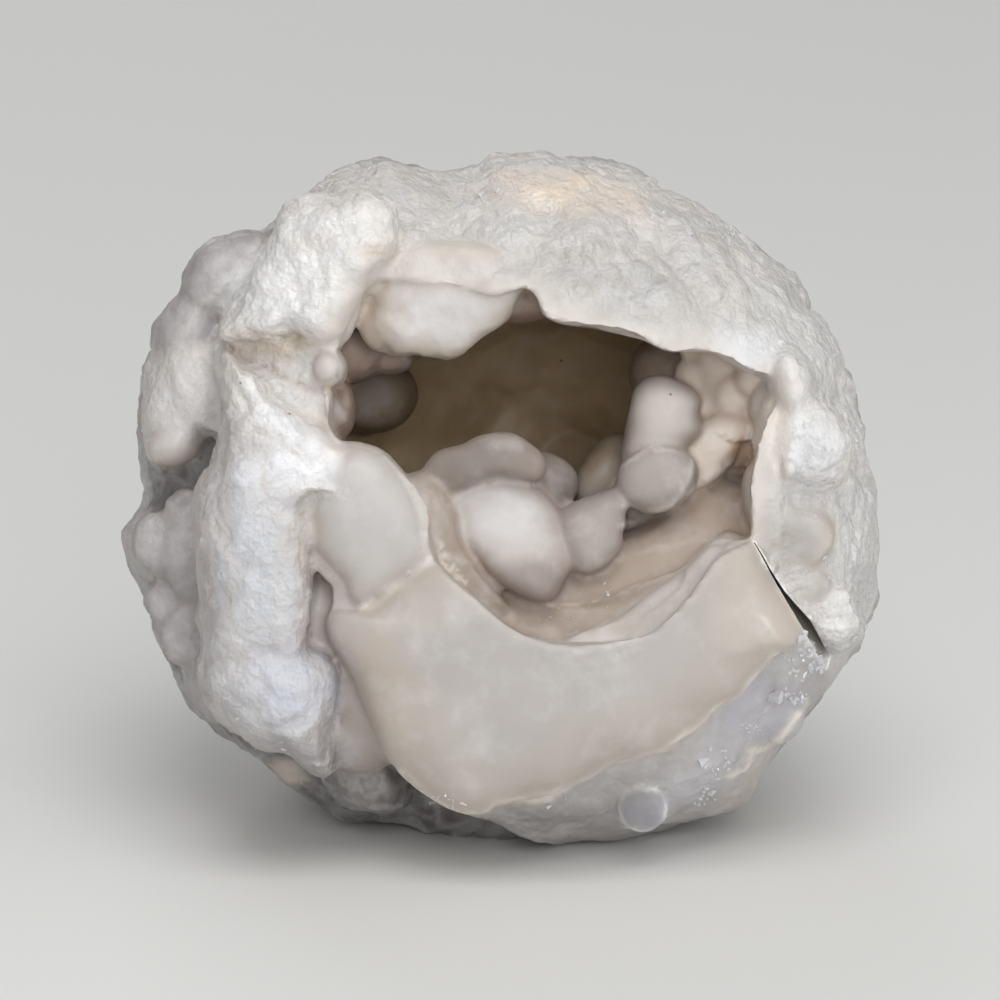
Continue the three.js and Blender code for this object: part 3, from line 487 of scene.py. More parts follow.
class NoduleColours(bpy.types.PropertyGroup):
    crystal: bpy.props.FloatVectorProperty(
        name="Crystal", description="The small crystals on the rind", subtype="COLOR",
        default=linear((200, 200, 205)))
    inside: bpy.props.FloatVectorProperty(
        name="Inside", description="The stone where it is cut through", subtype="COLOR",
        default=linear((134, 118, 100)))
    floor: bpy.props.FloatVectorProperty(
        name="Floor", description="The pale floor of the stage", subtype="COLOR",
        default=linear((228, 228, 226)))


def sizes():
    return bpy.context.scene.nodule_sizes


def colours():
    return bpy.context.scene.nodule_colours


# Outlines and lumps

def smooth_line(points, steps):
    """A centripetal Catmull-Rom curve through closed points, with this many points to each span."""
    points = np.array(points, float)
    count = len(points)
    made = []
    for i in range(count):
        p0, p1, p2, p3 = (points[(i + k) % count] for k in (-1, 0, 1, 2))
        t0 = 0.0
        t1 = t0 + max(np.linalg.norm(p1 - p0), 1e-6) ** 0.5
        t2 = t1 + max(np.linalg.norm(p2 - p1), 1e-6) ** 0.5
        t3 = t2 + max(np.linalg.norm(p3 - p2), 1e-6) ** 0.5
        t = np.linspace(t1, t2, steps, endpoint=False)[:, None]
        a1 = (t1 - t) / (t1 - t0) * p0 + (t - t0) / (t1 - t0) * p1
        a2 = (t2 - t) / (t2 - t1) * p1 + (t - t1) / (t2 - t1) * p2
        a3 = (t3 - t) / (t3 - t2) * p2 + (t - t2) / (t3 - t2) * p3
        b1 = (t2 - t) / (t2 - t0) * a1 + (t - t0) / (t2 - t0) * a2
        b2 = (t3 - t) / (t3 - t1) * a2 + (t - t1) / (t3 - t1) * a3
        made.append((t2 - t) / (t2 - t1) * b1 + (t - t1) / (t2 - t1) * b2)
    return np.concatenate(made)


class Lump:
    """A rounded lump: a sphere drawn out to an outline in the mouth's plane and to its own depths."""

    def __init__(self, at, front, finish, name="", edge=None, radii=None, turn=0, thick=None, back=None,
                 fullness=1, back_fullness=None, lean=(0, 0), cut_by_mouth=False):
        self.name, self.at, self.finish, self.cut_by_mouth = name, np.array(at, float), finish, cut_by_mouth
        self.middle = 0.0 if back else front - thick / 2
        self.front_half = front - self.middle
        self.back_half = back or thick / 2
        self.front_power = fullness
        self.back_power = back_fullness or fullness
        self.lean = np.array(lean, float)
        if edge:
            line = smooth_line(edge, SPAN_STEPS) - self.at
            self.angles = np.arctan2(line[:, 1], line[:, 0])
            self.reaches = np.hypot(line[:, 0], line[:, 1])
        else:
            self.angles = np.linspace(-math.pi, math.pi, LOOP_STEPS + 1)[:-1]
            swing = self.angles - math.radians(turn)
            self.reaches = 1 / np.hypot(np.cos(swing) / radii[0], np.sin(swing) / radii[1])

    def reach(self, angle):
        """How far the outline is from the centre at an angle."""
        return np.interp(angle, self.angles, self.reaches, period=2 * math.pi)

    def place(self, unit):
        """Unit sphere points (x, -depth, z) moved onto the lump's surface, as (x, depth, z)."""
        towards = -unit[:, 1]
        power = np.where(towards < 0, self.back_power, self.front_power)
        half = np.where(towards < 0, self.back_half, self.front_half)
        angle = np.arctan2(unit[:, 2], unit[:, 0])
        spread = self.reach(angle) * np.hypot(unit[:, 0], unit[:, 2]) ** power
        x, z = np.cos(angle) * spread, np.sin(angle) * spread
        depth = self.middle + np.sign(towards) * np.abs(towards) ** power * half
        depth += self.lean[0] * x + self.lean[1] * z
        return np.stack([self.at[0] + x, depth, self.at[1] + z], 1)

    def measure(self, points):
        """How far points (x, depth, z) are from the surface, and how near its outline they lie, 0 to 1."""
        x, z = points[:, 0] - self.at[0], points[:, 2] - self.at[1]
        depth = points[:, 1] - self.middle - self.lean[0] * x - self.lean[1] * z
        power = np.where(depth < 0, self.back_power, self.front_power)
        half = np.where(depth < 0, self.back_half, self.front_half)
        across = np.hypot(x, z) / self.reach(np.arctan2(z, x))
        level = (across ** (2 / power) + np.abs(depth / half) ** (2 / power)) ** (power / 2)
        length = np.sqrt(x * x + z * z + depth * depth)
        return (level - 1) * length / np.maximum(level, 1e-6), across


def to_row(points):
    """Points (x, depth, z) in millimetres of the mouth's frame, in metres as the stone rests."""
    tilt = sizes().mouth_tilt
    x, y, z = points[:, 0], -points[:, 1], points[:, 2]
    turned = np.stack([
        x, y * math.cos(tilt) + z * math.sin(tilt), z * math.cos(tilt) - y * math.sin(tilt)], 1)
    return turned * MM + np.array([0, 0, sizes().centre_height])


def to_mouth(points):
    """The reverse of to_row."""
    tilt = sizes().mouth_tilt
    p = (points - np.array([0, 0, sizes().centre_height])) / MM
    y = p[:, 1] * math.cos(tilt) - p[:, 2] * math.sin(tilt)
    z = p[:, 2] * math.cos(tilt) + p[:, 1] * math.sin(tilt)
    return np.stack([p[:, 0], -y, z], 1)


def mouth_facing(normals):
    """How squarely normals of the resting stone face out of the mouth."""
    tilt = sizes().mouth_tilt
    return normals[:, 2] * math.sin(tilt) - normals[:, 1] * math.cos(tilt)


# Mesh helpers

def read_points(mesh):
    points = np.empty(len(mesh.vertices) * 3)
    mesh.vertices.foreach_get("co", points)
    return points.reshape(-1, 3)


def write_points(mesh, points):
    mesh.vertices.foreach_set("co", points.ravel())
    mesh.update()


def read_normals(mesh):
    normals = np.empty(len(mesh.vertices) * 3)
    mesh.vertices.foreach_get("normal", normals)
    return normals.reshape(-1, 3)


def choose(obj):
    """Makes obj the only selected object and the active one."""
    bpy.ops.object.select_all(action="DESELECT")
    obj.select_set(True)
    bpy.context.view_layer.objects.active = obj


def apply_modifier(obj, kind, **settings):
    choose(obj)
    modifier = obj.modifiers.new(kind.lower(), kind)
    for key, value in settings.items():
        setattr(modifier, key, value)
    bpy.ops.object.modifier_apply(modifier=modifier.name)


def combine(obj, tool, operation):
    """Joins a tool to obj or cuts it out of obj, and removes the tool."""
    apply_modifier(obj, "BOOLEAN", operation=operation, solver="MANIFOLD", object=tool)
    bpy.data.objects.remove(tool)


def ball(name, subdivisions):
    """A sphere of even triangles, one unit in radius."""
    bpy.ops.object.select_all(action="DESELECT")
    bpy.ops.mesh.primitive_ico_sphere_add(subdivisions=subdivisions, radius=1)
    obj = bpy.context.object
    obj.name = name
    return obj


def knobs(points):
    """Points (x, depth, z) of a shell, pushed out into the rind's rounded knobs."""
    golden = math.pi * (3 - math.sqrt(5))
    i = np.arange(sizes().knob_count)
    height = 1 - (2 * (i + 0.5)) / sizes().knob_count
    ring = np.sqrt(1 - height * height)
    crowns = np.stack([ring * np.cos(i * golden), -height, ring * np.sin(i * golden)], 1)
    direction = points / np.linalg.norm(points, axis=1)[:, None]
    nearest = np.arccos(np.clip((direction @ crowns.T).max(axis=1), -1, 1))
    swell = np.maximum(0, 1 - (nearest / sizes().knob_angle) ** 2)
    backwards = np.clip((-direction[:, 1] + 0.2) / 0.5, 0, 1)
    on_rind = backwards * backwards * (3 - 2 * backwards)
    return points + direction * (sizes().knob_height / MM * on_rind * (swell - 0.6))[:, None]


def lump_object(lump, subdivisions, with_knobs=False):
    """A lump as a closed mesh, with the rind's knobs on it or without."""
    obj = ball(lump.name, subdivisions)
    unit = read_points(obj.data)
    placed = lump.place(unit / np.linalg.norm(unit, axis=1)[:, None])
    if with_knobs:
        placed = knobs(placed)
    write_points(obj.data, to_row(placed))
    return obj


def block_object(name, outline, depth):
    """A straight-sided block with an outline in the mouth's plane, from a depth to the cleared front."""
    bpy.ops.object.select_all(action="DESELECT")
    bpy.ops.mesh.primitive_circle_add(vertices=len(outline), radius=1, fill_type="NGON")
    obj = bpy.context.object
    obj.name = name
    low = np.stack([outline[:, 0], np.full(len(outline), float(depth)), outline[:, 1]], 1)
    write_points(obj.data, to_row(low))
    bpy.ops.object.mode_set(mode="EDIT")
    bpy.ops.mesh.select_all(action="SELECT")
    bpy.ops.mesh.extrude_region_move(TRANSFORM_OT_translate={"value": (0, 0, 1)})
    bpy.ops.object.mode_set(mode="OBJECT")
    points = read_points(obj.data)
    moved = points[:, 2] > 0.5
    high = low.copy()
    high[:, 1] = FACE_CLEAR
    points[moved] = to_row(high)
    write_points(obj.data, points)
    bpy.ops.object.mode_set(mode="EDIT")
    bpy.ops.mesh.select_all(action="SELECT")
    bpy.ops.mesh.normals_make_consistent(inside=False)
    bpy.ops.object.mode_set(mode="OBJECT")
    return obj


def fissure_outline():
    """Down the fissure's left side and back up its right side."""
    left = [(x - half, z - half) for x, z, half in FISSURE]
    right = [(x + half, z + half) for x, z, half in reversed(FISSURE)]
    return np.array(left + right)


# Relief

def sample(points, scale, function):
    """A noise function's value at each point, with features of about this size in millimetres."""
    return np.array([function(Vector(p)) for p in (points / scale).tolist()])


def grains(points, scale, flatness=2):
    """Rounded grains packed side by side, 0 between them and 1 on their crowns."""
    nearest = sample(points, scale, lambda p: noise.voronoi(p)[0][0])
    return 1 - np.clip(nearest / 0.75, 0, 1) ** flatness


def cracks(points, scale):
    """1 along the thin seams between plates of about this size, and 0 on the plates."""
    gap = sample(points, scale, lambda p: (lambda near: near[1] - near[0])(noise.voronoi(p)[0]))
    return np.exp(-(gap / 0.09) ** 2)


def plates(points, scale):
    """One level between 0 and 1 for each of the plates of about this size that points lie on."""
    return sample(points, scale, lambda p: noise.cell(noise.voronoi(p)[1][0] * 31.7))


def crests(points, scale):
    """Branching ridges, about 1 on their sharp tops."""
    return sample(points, scale, lambda p: noise.ridged_multi_fractal(p, 0.9, 2.1, 4, 0.9, 1.8)) / 1.6


def swells(points, scale, octaves=3):
    """Soft rises and falls about 0, with this many finer ones on them."""
    return sample(points, scale, lambda p: noise.fractal(p, 0.8, 2.0, octaves))


def surfaces():
    """Every lump and big surface of the stone."""
    named = [dict(SHELL, name="shell"), dict(SUNKEN, name="sunken"), dict(HOLLOW, name="hollow")]
    return [Lump(**spec) for spec in named + FRONT_LUMPS + INNER_LUMPS]


def shares(finish, points):
    """How much of a finish, and of the one that takes its place low on the front, there is at each point."""
    if finish != "crust":
        return [(finish, 1.0)]
    low = np.clip((-3 - points[:, 2] - 0.9 * np.maximum(points[:, 0] - 20, 0)) / 4, 0, 1)
    right = np.clip((points[:, 0] - 30 + 0.3 * points[:, 2]) / 3, 0, 1) * (1 - low)
    return [("strip", low), ("frost", right), ("crust", 1 - low - right)]


def finish_maps(points):
    """Colour and the heights of knobs, grains and ridges for every point, from the lump it lies on."""
    total = np.full(len(points), 1e-9)
    colour = np.zeros((len(points), 3))
    heights = np.zeros((len(points), 3))
    for lump in surfaces():
        distance, across = lump.measure(points)
        weight = np.exp(-np.minimum((distance / BLEND_WIDTH) ** 2, 30)) + 1e-6 * np.exp(-np.abs(distance))
        weight *= 0.02 if lump.name == "hollow" else 1
        share = np.clip((across - 0.5) / 0.5, 0, 1)[:, None] ** 1.3
        for finish, part in shares(lump.finish, points):
            heart, margin, *tall = FINISHES[finish]
            tone = np.array(linear(heart)) * (1 - share) + np.array(linear(margin)) * share
            colour += (weight * part)[:, None] * tone
            heights += (weight * part)[:, None] * np.array(tall)
        total += weight
    return colour / total[:, None], *(heights / total[:, None]).T


def line_distance(points, line):
    """How far points lie from a line of [x, z] points, seen square to the mouth."""
    flat = points[:, [0, 2]]
    nearest = np.full(len(points), 1e9)
    for start, end in zip(line[:-1], line[1:]):
        step = end - start
        along = np.clip((flat - start) @ step / max(step @ step, 1e-9), 0, 1)
        nearest = np.minimum(nearest, np.linalg.norm(flat - start - along[:, None] * step, axis=1))
    return nearest


def within(points, depths, soft=1.0):
    """1 for points whose depth lies in a range, fading to 0 outside it."""
    depth = points[:, 1]
    return np.clip((depth - depths[0]) / soft + 0.5, 0, 1) * np.clip((depths[1] - depth) / soft + 0.5, 0, 1)


def paint(colour, shade, share):
    return colour * (1 - share[:, None]) + np.array(linear(shade)) * share[:, None]


def patches(points, colour):
    """Colour with the patches laid over it, some of them painted shade, their edges broken up."""
    wander = 0.35 * swells(points, 2.6)
    for centre, radii, turn, depths, shade, strength in PATCHES:
        tilt = math.radians(turn)
        x, z = points[:, 0] - centre[0], points[:, 2] - centre[1]
        u = (x * math.cos(tilt) + z * math.sin(tilt)) / radii[0]
        w = (z * math.cos(tilt) - x * math.sin(tilt)) / radii[1]
        share = strength * np.clip(1.5 - np.hypot(u, w) + wander, 0, 1) * within(points, depths)
        colour = paint(colour, shade, share)
    return colour


def veins_and_painted_light(points, colour):
    """Colour with the fine lines drawn on it, some of them painted highlights and painted shade, and how far
    they lift the surface.
    """
    lift = np.zeros(len(points))
    wander = 0.3 * swells(points, 2)
    for line, depths, half_width, shade, rise in VEINS_AND_PAINTED_LIGHT:
        distance = np.abs(line_distance(points, np.array(line, float)) + wander)
        share = np.exp(-(distance / half_width) ** 2) * within(points, depths)
        colour = paint(colour, shade, 0.85 * share)
        lift += rise * np.exp(-(distance / (half_width + 0.15)) ** 2) * within(points, depths)
    return colour, lift


# Materials

class Value:
    """A shader socket that takes part in sums: each operator adds the Math node that works it out."""

    def __init__(self, nodes, socket):
        self.nodes, self.socket = nodes, socket

    def math(self, operation, a, b):
        return self.nodes.add("Math", {"operation": operation}, {0: a, 1: b})[0]

    def __add__(self, other):
        return self.math("ADD", self, other)

    def __radd__(self, other):
        return self.math("ADD", other, self)

    def __sub__(self, other):
        return self.math("SUBTRACT", self, other)

    def __rsub__(self, other):
        return self.math("SUBTRACT", other, self)

    def __mul__(self, other):
        return self.math("MULTIPLY", self, other)

    def __rmul__(self, other):
        return self.math("MULTIPLY", other, self)


class Nodes:
    """A new material and the one way that its nodes are made."""

    def __init__(self, name):
        self.material = bpy.data.materials.new(name)
        self.material.use_nodes = True
        self.tree = self.material.node_tree
        self.tree.nodes.clear()

    def add(self, kind, settings=None, inputs=None):
        """Adds a node, sets it, links or fills its sockets, and returns its outputs."""
        node = self.tree.nodes.new("ShaderNode" + kind)
        for key, value in (settings or {}).items():
            setattr(node, key, value)
        for key, value in (inputs or {}).items():
            if isinstance(value, Value):
                self.tree.links.new(value.socket, node.inputs[key])
            else:
                node.inputs[key].default_value = value
        return [Value(self, socket) for socket in node.outputs]

    def ramp(self, value, stops):
        """A grey ramp through (position, level) stops."""
        node = self.tree.nodes.new("ShaderNodeValToRGB")
        elements = node.color_ramp.elements
        while len(elements) < len(stops):
            elements.new(0.5)
        for element, (position, level) in zip(elements, stops):
            element.position = position
            element.color = (level, level, level, 1)
        self.tree.links.new(value.socket, node.inputs[0])
        return Value(self, node.outputs[0])

    def mix(self, factor, a, b):
        """Colour a, giving way to colour b as the factor goes from 0 to 1."""
        return self.add("Mix", {"data_type": "RGBA"}, {0: factor, 6: a, 7: b})[2]

    def finish(self, shader):
        self.add("OutputMaterial", None, {"Surface": shader})
        return self.material


def stone_material():
    """Waxy chalcedony: its colour comes from the lumps, and its grain from where the rind is rough."""
    n = Nodes("chalcedony")
    place = n.add("TexCoord")[3]
    tone = n.add("Attribute", {"attribute_name": "tone"})[0]
    rough = n.add("Attribute", {"attribute_name": "grain"})[2]
    cloud = n.add("TexNoise", None, {"Vector": place, "Scale": 260.0, "Detail": 3.0, "Roughness": 0.65})[0]
    fine = n.add("TexNoise", None, {"Vector": place, "Scale": 1300.0, "Detail": 2.0, "Roughness": 0.7})[0]
    turned = n.add("Mapping", None, {"Vector": place, "Rotation": (0.6, 0.4, 0.9)})[0]
    angular = {"feature": "F1", "distance": "MANHATTAN"}
    facets = n.add("TexVoronoi", angular, {"Vector": turned, "Scale": 800.0})[0]
    chips = n.add("TexVoronoi", angular, {"Vector": place, "Scale": 1900.0})[0]
    speck, speck_kind = n.add("TexVoronoi", {"feature": "F1"}, {"Vector": place, "Scale": 210.0})[:2]
    chosen = n.ramp(speck_kind, [(0.62, 0.0), (0.64, 1.0)])
    clear = n.mix(n.ramp(cloud, [(0.42, 0.0), (0.62, 1.0)]) * rough * 0.3, tone, CLEAR_TONE)
    milky = n.mix(n.ramp(cloud, [(0.5, 0.0), (0.8, 1.0)]) * 0.25, clear, MILKY_TONE)
    sugary = n.mix(n.ramp(facets, [(0.4, 0.0), (0.85, 1.0)]) * rough * 0.22, milky, SUGAR_TONE)
    base = n.mix(n.ramp(speck, [(0.02, 1.0), (0.045, 0.0)]) * chosen * 0.85, sugary, SPECK_TONE)
    height = (fine * 0.4 + facets * 0.8 + chips * 0.35) * rough + fine * 0.06
    bump = n.add("Bump", None, {"Strength": 0.55, "Distance": 0.0005, "Height": height})[0]
    shader = n.add("BsdfPrincipled", {"subsurface_method": "BURLEY"}, {
        "Base Color": base,
        "Roughness": 0.42 - rough * 0.14 + fine * 0.08,
        "Normal": bump,
        "Subsurface Weight": 0.4,
        "Subsurface Radius": (1.0, 0.82, 0.7),
        "Subsurface Scale": 0.001,
        "IOR": QUARTZ_IOR,
    })[0]
    return n.finish(shader)


def crystal_material():
    """Clear, sharp quartz."""
    n = Nodes("drusy_quartz")
    place = n.add("TexCoord")[3]
    cloud = n.add("TexNoise", None, {"Vector": place, "Scale": 400.0, "Detail": 2.0})[0]
    base = n.mix(cloud, (*colours().crystal, 1), CRYSTAL_SHADE)
    shader = n.add("BsdfPrincipled", None, {
        "Base Color": base, "Roughness": 0.06 + cloud * 0.1, "IOR": QUARTZ_IOR, "Specular IOR Level": 0.9})[0]
    return n.finish(shader)


def floor_material():
    """A plain pale floor, with the faintest of clouds in it."""
    n = Nodes("pale_floor")
    place = n.add("TexCoord")[3]
    cloud = n.add("TexNoise", None, {"Vector": place, "Scale": 30.0, "Detail": 2.0})[0]
    base = n.mix(cloud * 0.1, (*colours().floor, 1), FLOOR_SHADE)
    return n.finish(n.add("BsdfPrincipled", None, {"Base Color": base, "Roughness": 0.6 + cloud * 0.1})[0])


# Operators

class OBJECT_OT_nodule_stone(bpy.types.Operator):
    """Build the nodule's stone: rind, mouth, hollow, lobes, ledges and fissure"""
    bl_idname = "object.nodule_stone"
    bl_label = "Build the stone"
    bl_options = {"REGISTER", "UNDO"}

    def execute(self, context):
        stone = self.body()
        apply_modifier(stone, "REMESH", mode="VOXEL", voxel_size=sizes().voxel, use_smooth_shade=True)
        apply_modifier(stone, "SMOOTH", factor=0.5, iterations=1)
        self.relief(stone)
        self.cut_last(stone)
        self.thin_out(stone)
        self.centre(stone)
        stone.name = stone.data.name = "nodule_stone"
        stone.data.materials.clear()
        stone.data.materials.append(stone_material())
        stone.data.shade_smooth()
        stone.data.set_sharp_from_angle(angle=math.radians(55))
        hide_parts("nodule")
        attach(stone, "root")
        return {"FINISHED"}

    def body(self):
        """The stone before its relief, as one closed mesh."""
        shell = lump_object(Lump(**SHELL, name="shell"), BIG_BALL, with_knobs=True)
        recess = block_object("recess", np.array(RECESS, float), 0)
        sunken = lump_object(Lump(**SUNKEN, name="sunken"), BIG_BALL, with_knobs=True)
        combine(recess, sunken, "DIFFERENCE")
        combine(shell, recess, "DIFFERENCE")
        combine(shell, block_object("step", np.array(LOWER_STEP, float), LOWER_STEP_DEPTH), "DIFFERENCE")
        front = [Lump(**spec) for spec in FRONT_LUMPS]
        for lump in [lump for lump in front if lump.cut_by_mouth]:
            combine(shell, lump_object(lump, BIG_BALL), "UNION")
        combine(shell, block_object("mouth", smooth_line(MOUTH, MOUTH_STEPS), 0), "DIFFERENCE")
        combine(shell, lump_object(Lump(**HOLLOW, name="hollow"), BIG_BALL), "DIFFERENCE")
        for lump in [lump for lump in front if not lump.cut_by_mouth]:
            combine(shell, lump_object(lump, SMALL_BALL), "UNION")
        for spec in INNER_LUMPS:
            combine(shell, lump_object(Lump(**spec), SMALL_BALL), "UNION")
        return shell

    def relief(self, stone):
        """Raises knobs, grains, ridges and fine lines, and stores the colour of every point, painted shade
        and highlights included.
        """
        mesh = stone.data
        points = to_mouth(read_points(mesh))
        colour, knob, grain, ridge = finish_maps(points)
        rim = np.exp(-(line_distance(points, smooth_line(MOUTH + MOUTH[:1], 2)) / RIM_WIDTH) ** 2)
        rim *= within(points, (16, 40), 4) * np.clip(grain / 0.3, 0, 1)
        grain, ridge = grain * (1 - 0.85 * rim), ridge * (1 - 0.6 * rim)
        colour = patches(points, paint(colour, RIM_WASH, 0.6 * rim))
        bent = points + 0.9 * np.stack([swells(points + shift, 3, 2) for shift in (0, 40, 80)], 1)
        crown, pebble = grains(points, KNOB_SIZE, 3), grains(bent, PEBBLE_SIZE, 3)
        sugar, seam = grains(points, SUGAR_SIZE), cracks(bent, PLATE_SIZE)
        patchy = np.clip(0.7 + 1.1 * swells(points, 9, 2), 0.25, 1.3)
        crest = crests(points, PEBBLE_SIZE)
        rise = knob * (0.8 * crown - 0.5 + 0.7 * swells(points, 8)) + ridge * (crest - 0.8)
        rise += grain * patchy * (1.1 * (pebble - 0.6) + 0.4 * (sugar - 0.5) + 0.5 * swells(points, 2.4))
        rise += grain * (0.5 * (plates(bent, PLATE_SIZE) - 0.5) - 0.2 * seam)
        rough = np.clip(grain / FULL_GRAIN, 0, 1)
        # Painted shade: the dips between grains and the seams take a darker grey.
        dips = 0.9 - 0.4 * pebble - 0.3 * crown - 0.2 * sugar + 0.3 * seam
        dip_shade = np.clip(dips, 0, 1) * (0.2 + 0.8 * rough)
        colour = paint(colour, DIP_PAINTED_SHADE, 0.45 * dip_shade)
        colour = paint(colour, PLATE_WASH, 0.5 * rough * np.clip(plates(bent, PEBBLE_SIZE) * 2 - 1, 0, 1))
        colour = paint(colour, SEAM_WASH, 0.22 * rough * seam)
        colour, lift = veins_and_painted_light(points, colour)
        write_points(mesh, read_points(mesh) + read_normals(mesh) * ((rise + lift) * MM)[:, None])
        wash = 1 + 0.05 * swells(points, 6, 2)[:, None]
        rgba = np.concatenate([np.clip(colour * wash, 0, 1), np.ones((len(points), 1))], 1)
        mesh.attributes.new("tone", "FLOAT_COLOR", "POINT").data.foreach_set("color", rgba.ravel())
        mesh.attributes.new("grain", "FLOAT", "POINT").data.foreach_set("value", rough)

    def cut_last(self, stone):
        """Opens the fissure and levels the facet that the stone rests on."""
        combine(stone, block_object("fissure", fissure_outline(), FISSURE_DEPTH), "DIFFERENCE")
        side = 0.1
        bpy.ops.object.select_all(action="DESELECT")
        bpy.ops.mesh.primitive_cube_add(size=side, location=(0, 0, -side / 2))
        ground = bpy.context.object
        bpy.ops.object.transform_apply(location=True)
        combine(stone, ground, "DIFFERENCE")
        tone = stone.data.attributes["tone"]
        rgba = np.empty(len(tone.data) * 4)
        tone.data.foreach_get("color", rgba)
        rgba = rgba.reshape(-1, 4)
        rgba[rgba[:, 3] < 0.5] = (*colours().inside, 1)
        tone.data.foreach_set("color", rgba.ravel())

    def thin_out(self, stone):
        """Takes faces away where little shows: from the back of the rind and from the hollow."""
        points = to_mouth(read_points(stone.data))
        (x, z), (rx, rz) = HOLLOW_VIEW
        inside = ((points[:, 0] - x) / rx) ** 2 + ((points[:, 2] - z) / rz) ** 2 < 1
        spare = np.where(inside, 0.8, 1) * np.clip((8 - points[:, 1]) / 30, 0.03, 0.5)
        group = stone.vertex_groups.new(name="spare")
        for level in range(1, THIN_LEVELS + 1):
            chosen = np.flatnonzero(np.ceil(spare * THIN_LEVELS) == level)
            group.add(chosen.tolist(), level / THIN_LEVELS, "REPLACE")
        stone.data.calc_loop_triangles()
        apply_modifier(
            stone, "DECIMATE", ratio=min(1, sizes().most_faces / len(stone.data.loop_triangles)),
            vertex_group=group.name, vertex_group_factor=4)
        stone.vertex_groups.clear()

    def centre(self, stone):
        """Centres the stone's box over the middle of the frame's box."""
        points = read_points(stone.data)
        middle = (points.min(axis=0) + points.max(axis=0)) / 2
        shift = (np.array(FRAME_LOW) + np.array(FRAME_HIGH)) / 2 - middle
        shift[2] = 0
        write_points(stone.data, points + shift)


class OBJECT_OT_nodule_crystals(bpy.types.Operator):
    """Scatter the small crystals that glitter on the rind"""
    bl_idname = "object.nodule_crystals"
    bl_label = "Scatter crystals"
    bl_options = {"REGISTER", "UNDO"}

    def execute(self, context):
        stone = bpy.data.objects["nodule_stone"]
        rng = np.random.default_rng(CRYSTAL_SEED)
        points, normals = read_points(stone.data), read_normals(stone.data)
        mouth = to_mouth(points)
        chosen = []
        lengths = []
        for (x, z), (rx, rz), count, length in GLITTER:
            near = ((mouth[:, 0] - x) / rx) ** 2 + ((mouth[:, 2] - z) / rz) ** 2
            inside = np.flatnonzero((near < 1) & (mouth[:, 1] > 4) & (mouth_facing(normals) > 0.1))
            chosen.append(rng.choice(inside, min(count, len(inside)), replace=False))
            lengths.append(length * MM * rng.uniform(0.6, 1.2, len(chosen[-1])))
        chosen = np.concatenate(chosen)
        crystals = self.grow(points[chosen], normals[chosen], np.concatenate(lengths), rng)
        crystals.data.materials.append(crystal_material())
        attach(crystals, "root")
        return {"FINISHED"}

    def grow(self, places, normals, lengths, rng):
        """One joined mesh with a five-sided crystal at each place, leaning about the normal."""
        bpy.ops.object.select_all(action="DESELECT")
        bpy.ops.mesh.primitive_cone_add(
            vertices=CRYSTAL_SIDES, radius1=0.55, radius2=0.12, depth=1, end_fill_type="NGON")
        template = bpy.context.object
        shape = read_points(template.data)
        faces = [list(polygon.vertices) for polygon in template.data.polygons]
        bpy.data.objects.remove(template)
        vertices, polygons = [], []
        for place, normal, length in zip(places, normals, lengths):
            lean = Vector(normal + rng.normal(0, 0.5, 3)).normalized()
            turn = np.array(lean.to_track_quat("Z", "Y").to_matrix())
            start = len(vertices)
            sunk = np.array(lean) * length * sizes().crystal_sink
            vertices.extend((shape * length) @ turn.T + place - sunk)
            polygons.extend([start + i for i in face] for face in faces)
        mesh = bpy.data.meshes.new("drusy_crystals")
        mesh.from_pydata([tuple(v) for v in vertices], [], polygons)
        obj = bpy.data.objects.new("drusy_crystals", mesh)
        bpy.context.scene.collection.objects.link(obj)
        return obj


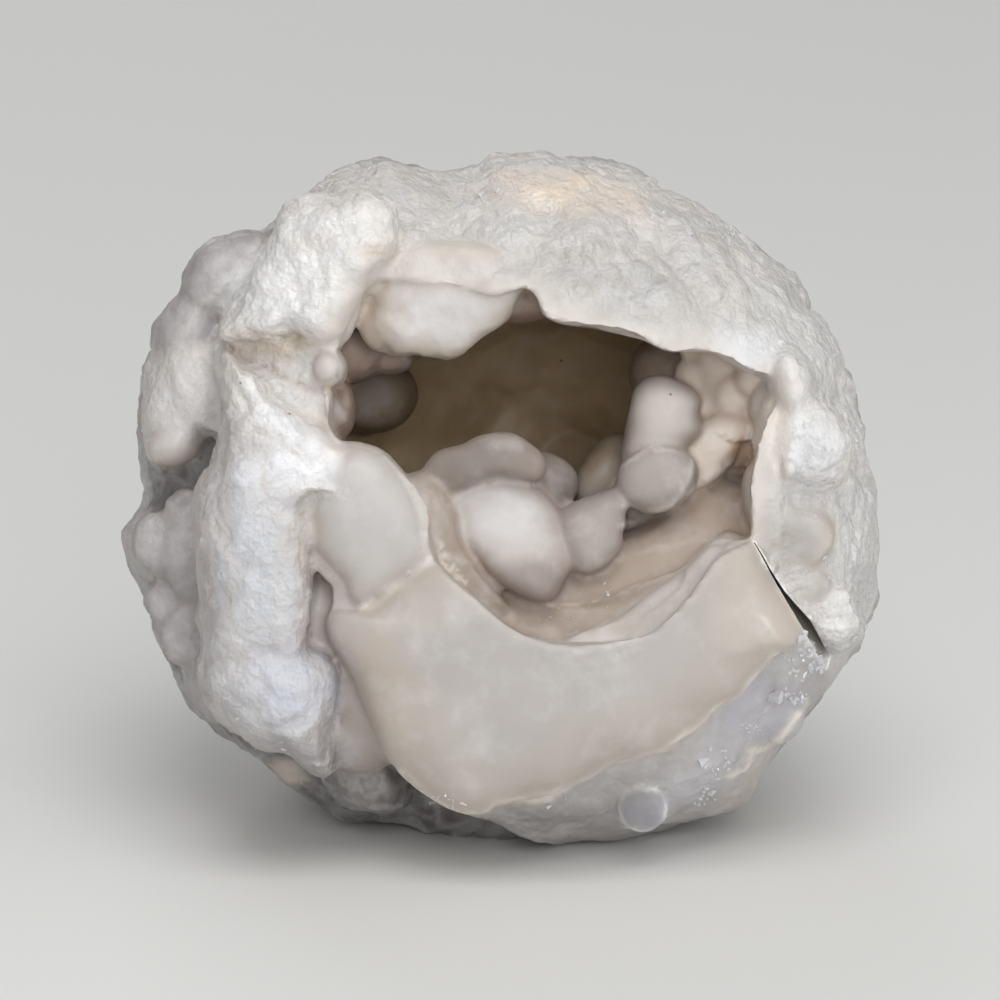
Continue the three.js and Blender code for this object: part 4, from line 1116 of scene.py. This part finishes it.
class OBJECT_OT_nodule_stage(bpy.types.Operator):
    """Set the pale floor, the soft lights and the camera"""
    bl_idname = "object.nodule_stage"
    bl_label = "Set the stage"
    bl_options = {"REGISTER", "UNDO"}

    def execute(self, context):
        bpy.ops.object.select_all(action="DESELECT")
        bpy.ops.mesh.primitive_plane_add(size=6)
        floor = context.object
        floor.name = "pale_floor"
        floor.data.materials.append(floor_material())
        aim = Vector((0, 0, sizes().centre_height))
        for name, place, size, power in LIGHTS:
            self.light(name, place, aim, size, power)
        world = bpy.data.worlds.new("soft_studio")
        context.scene.world = world
        world.use_nodes = True
        world.node_tree.nodes["Background"].inputs[0].default_value = SKY
        world.node_tree.nodes["Background"].inputs[1].default_value = SKY_STRENGTH
        context.scene.view_settings.view_transform = "Standard"
        data = bpy.data.cameras.new("camera")
        data.lens, data.sensor_width = LENS, SENSOR
        data.clip_end = 20
        camera = bpy.data.objects.new("camera", data)
        tilt = sizes().mouth_tilt
        away = Vector((0, -math.cos(tilt), math.sin(tilt)))
        camera.location = aim + away
        camera.rotation_euler = (-away).to_track_quat("-Z", "Y").to_euler()
        context.scene.collection.objects.link(camera)
        context.scene.camera = camera
        return {"FINISHED"}

    def light(self, name, place, aim, size, power):
        """A square lamp that looks at the aim."""
        data = bpy.data.lights.new(name, "AREA")
        data.shape, data.size, data.energy = "SQUARE", size, power
        lamp = bpy.data.objects.new(name, data)
        lamp.location = place
        lamp.rotation_euler = (aim - lamp.location).to_track_quat("-Z", "Y").to_euler()
        bpy.context.scene.collection.objects.link(lamp)


class VIEW3D_PT_nodule(bpy.types.Panel):
    bl_label = "Nodule"
    bl_idname = "VIEW3D_PT_nodule"
    bl_space_type = "VIEW_3D"
    bl_region_type = "UI"
    bl_category = "Nodule"

    def draw(self, context):
        for operator in OPERATORS:
            self.layout.operator(operator.bl_idname)
        for group in (context.scene.nodule_sizes, context.scene.nodule_colours):
            for name in group.__annotations__:
                self.layout.prop(group, name)


OPERATORS = (OBJECT_OT_nodule_stone, OBJECT_OT_nodule_crystals, OBJECT_OT_nodule_stage)
CLASSES = (NoduleSizes, NoduleColours, *OPERATORS, VIEW3D_PT_nodule)


def register():
    for cls in CLASSES:
        bpy.utils.register_class(cls)
    bpy.types.Scene.nodule_sizes = bpy.props.PointerProperty(type=NoduleSizes)
    bpy.types.Scene.nodule_colours = bpy.props.PointerProperty(type=NoduleColours)


def unregister():
    del bpy.types.Scene.nodule_colours
    del bpy.types.Scene.nodule_sizes
    for cls in reversed(CLASSES):
        bpy.utils.unregister_class(cls)


def main():
    register()
    bpy.ops.object.nodule_stone()
    bpy.ops.object.nodule_crystals()
    bpy.ops.object.nodule_stage()


if __name__ == "__main__":
    main()
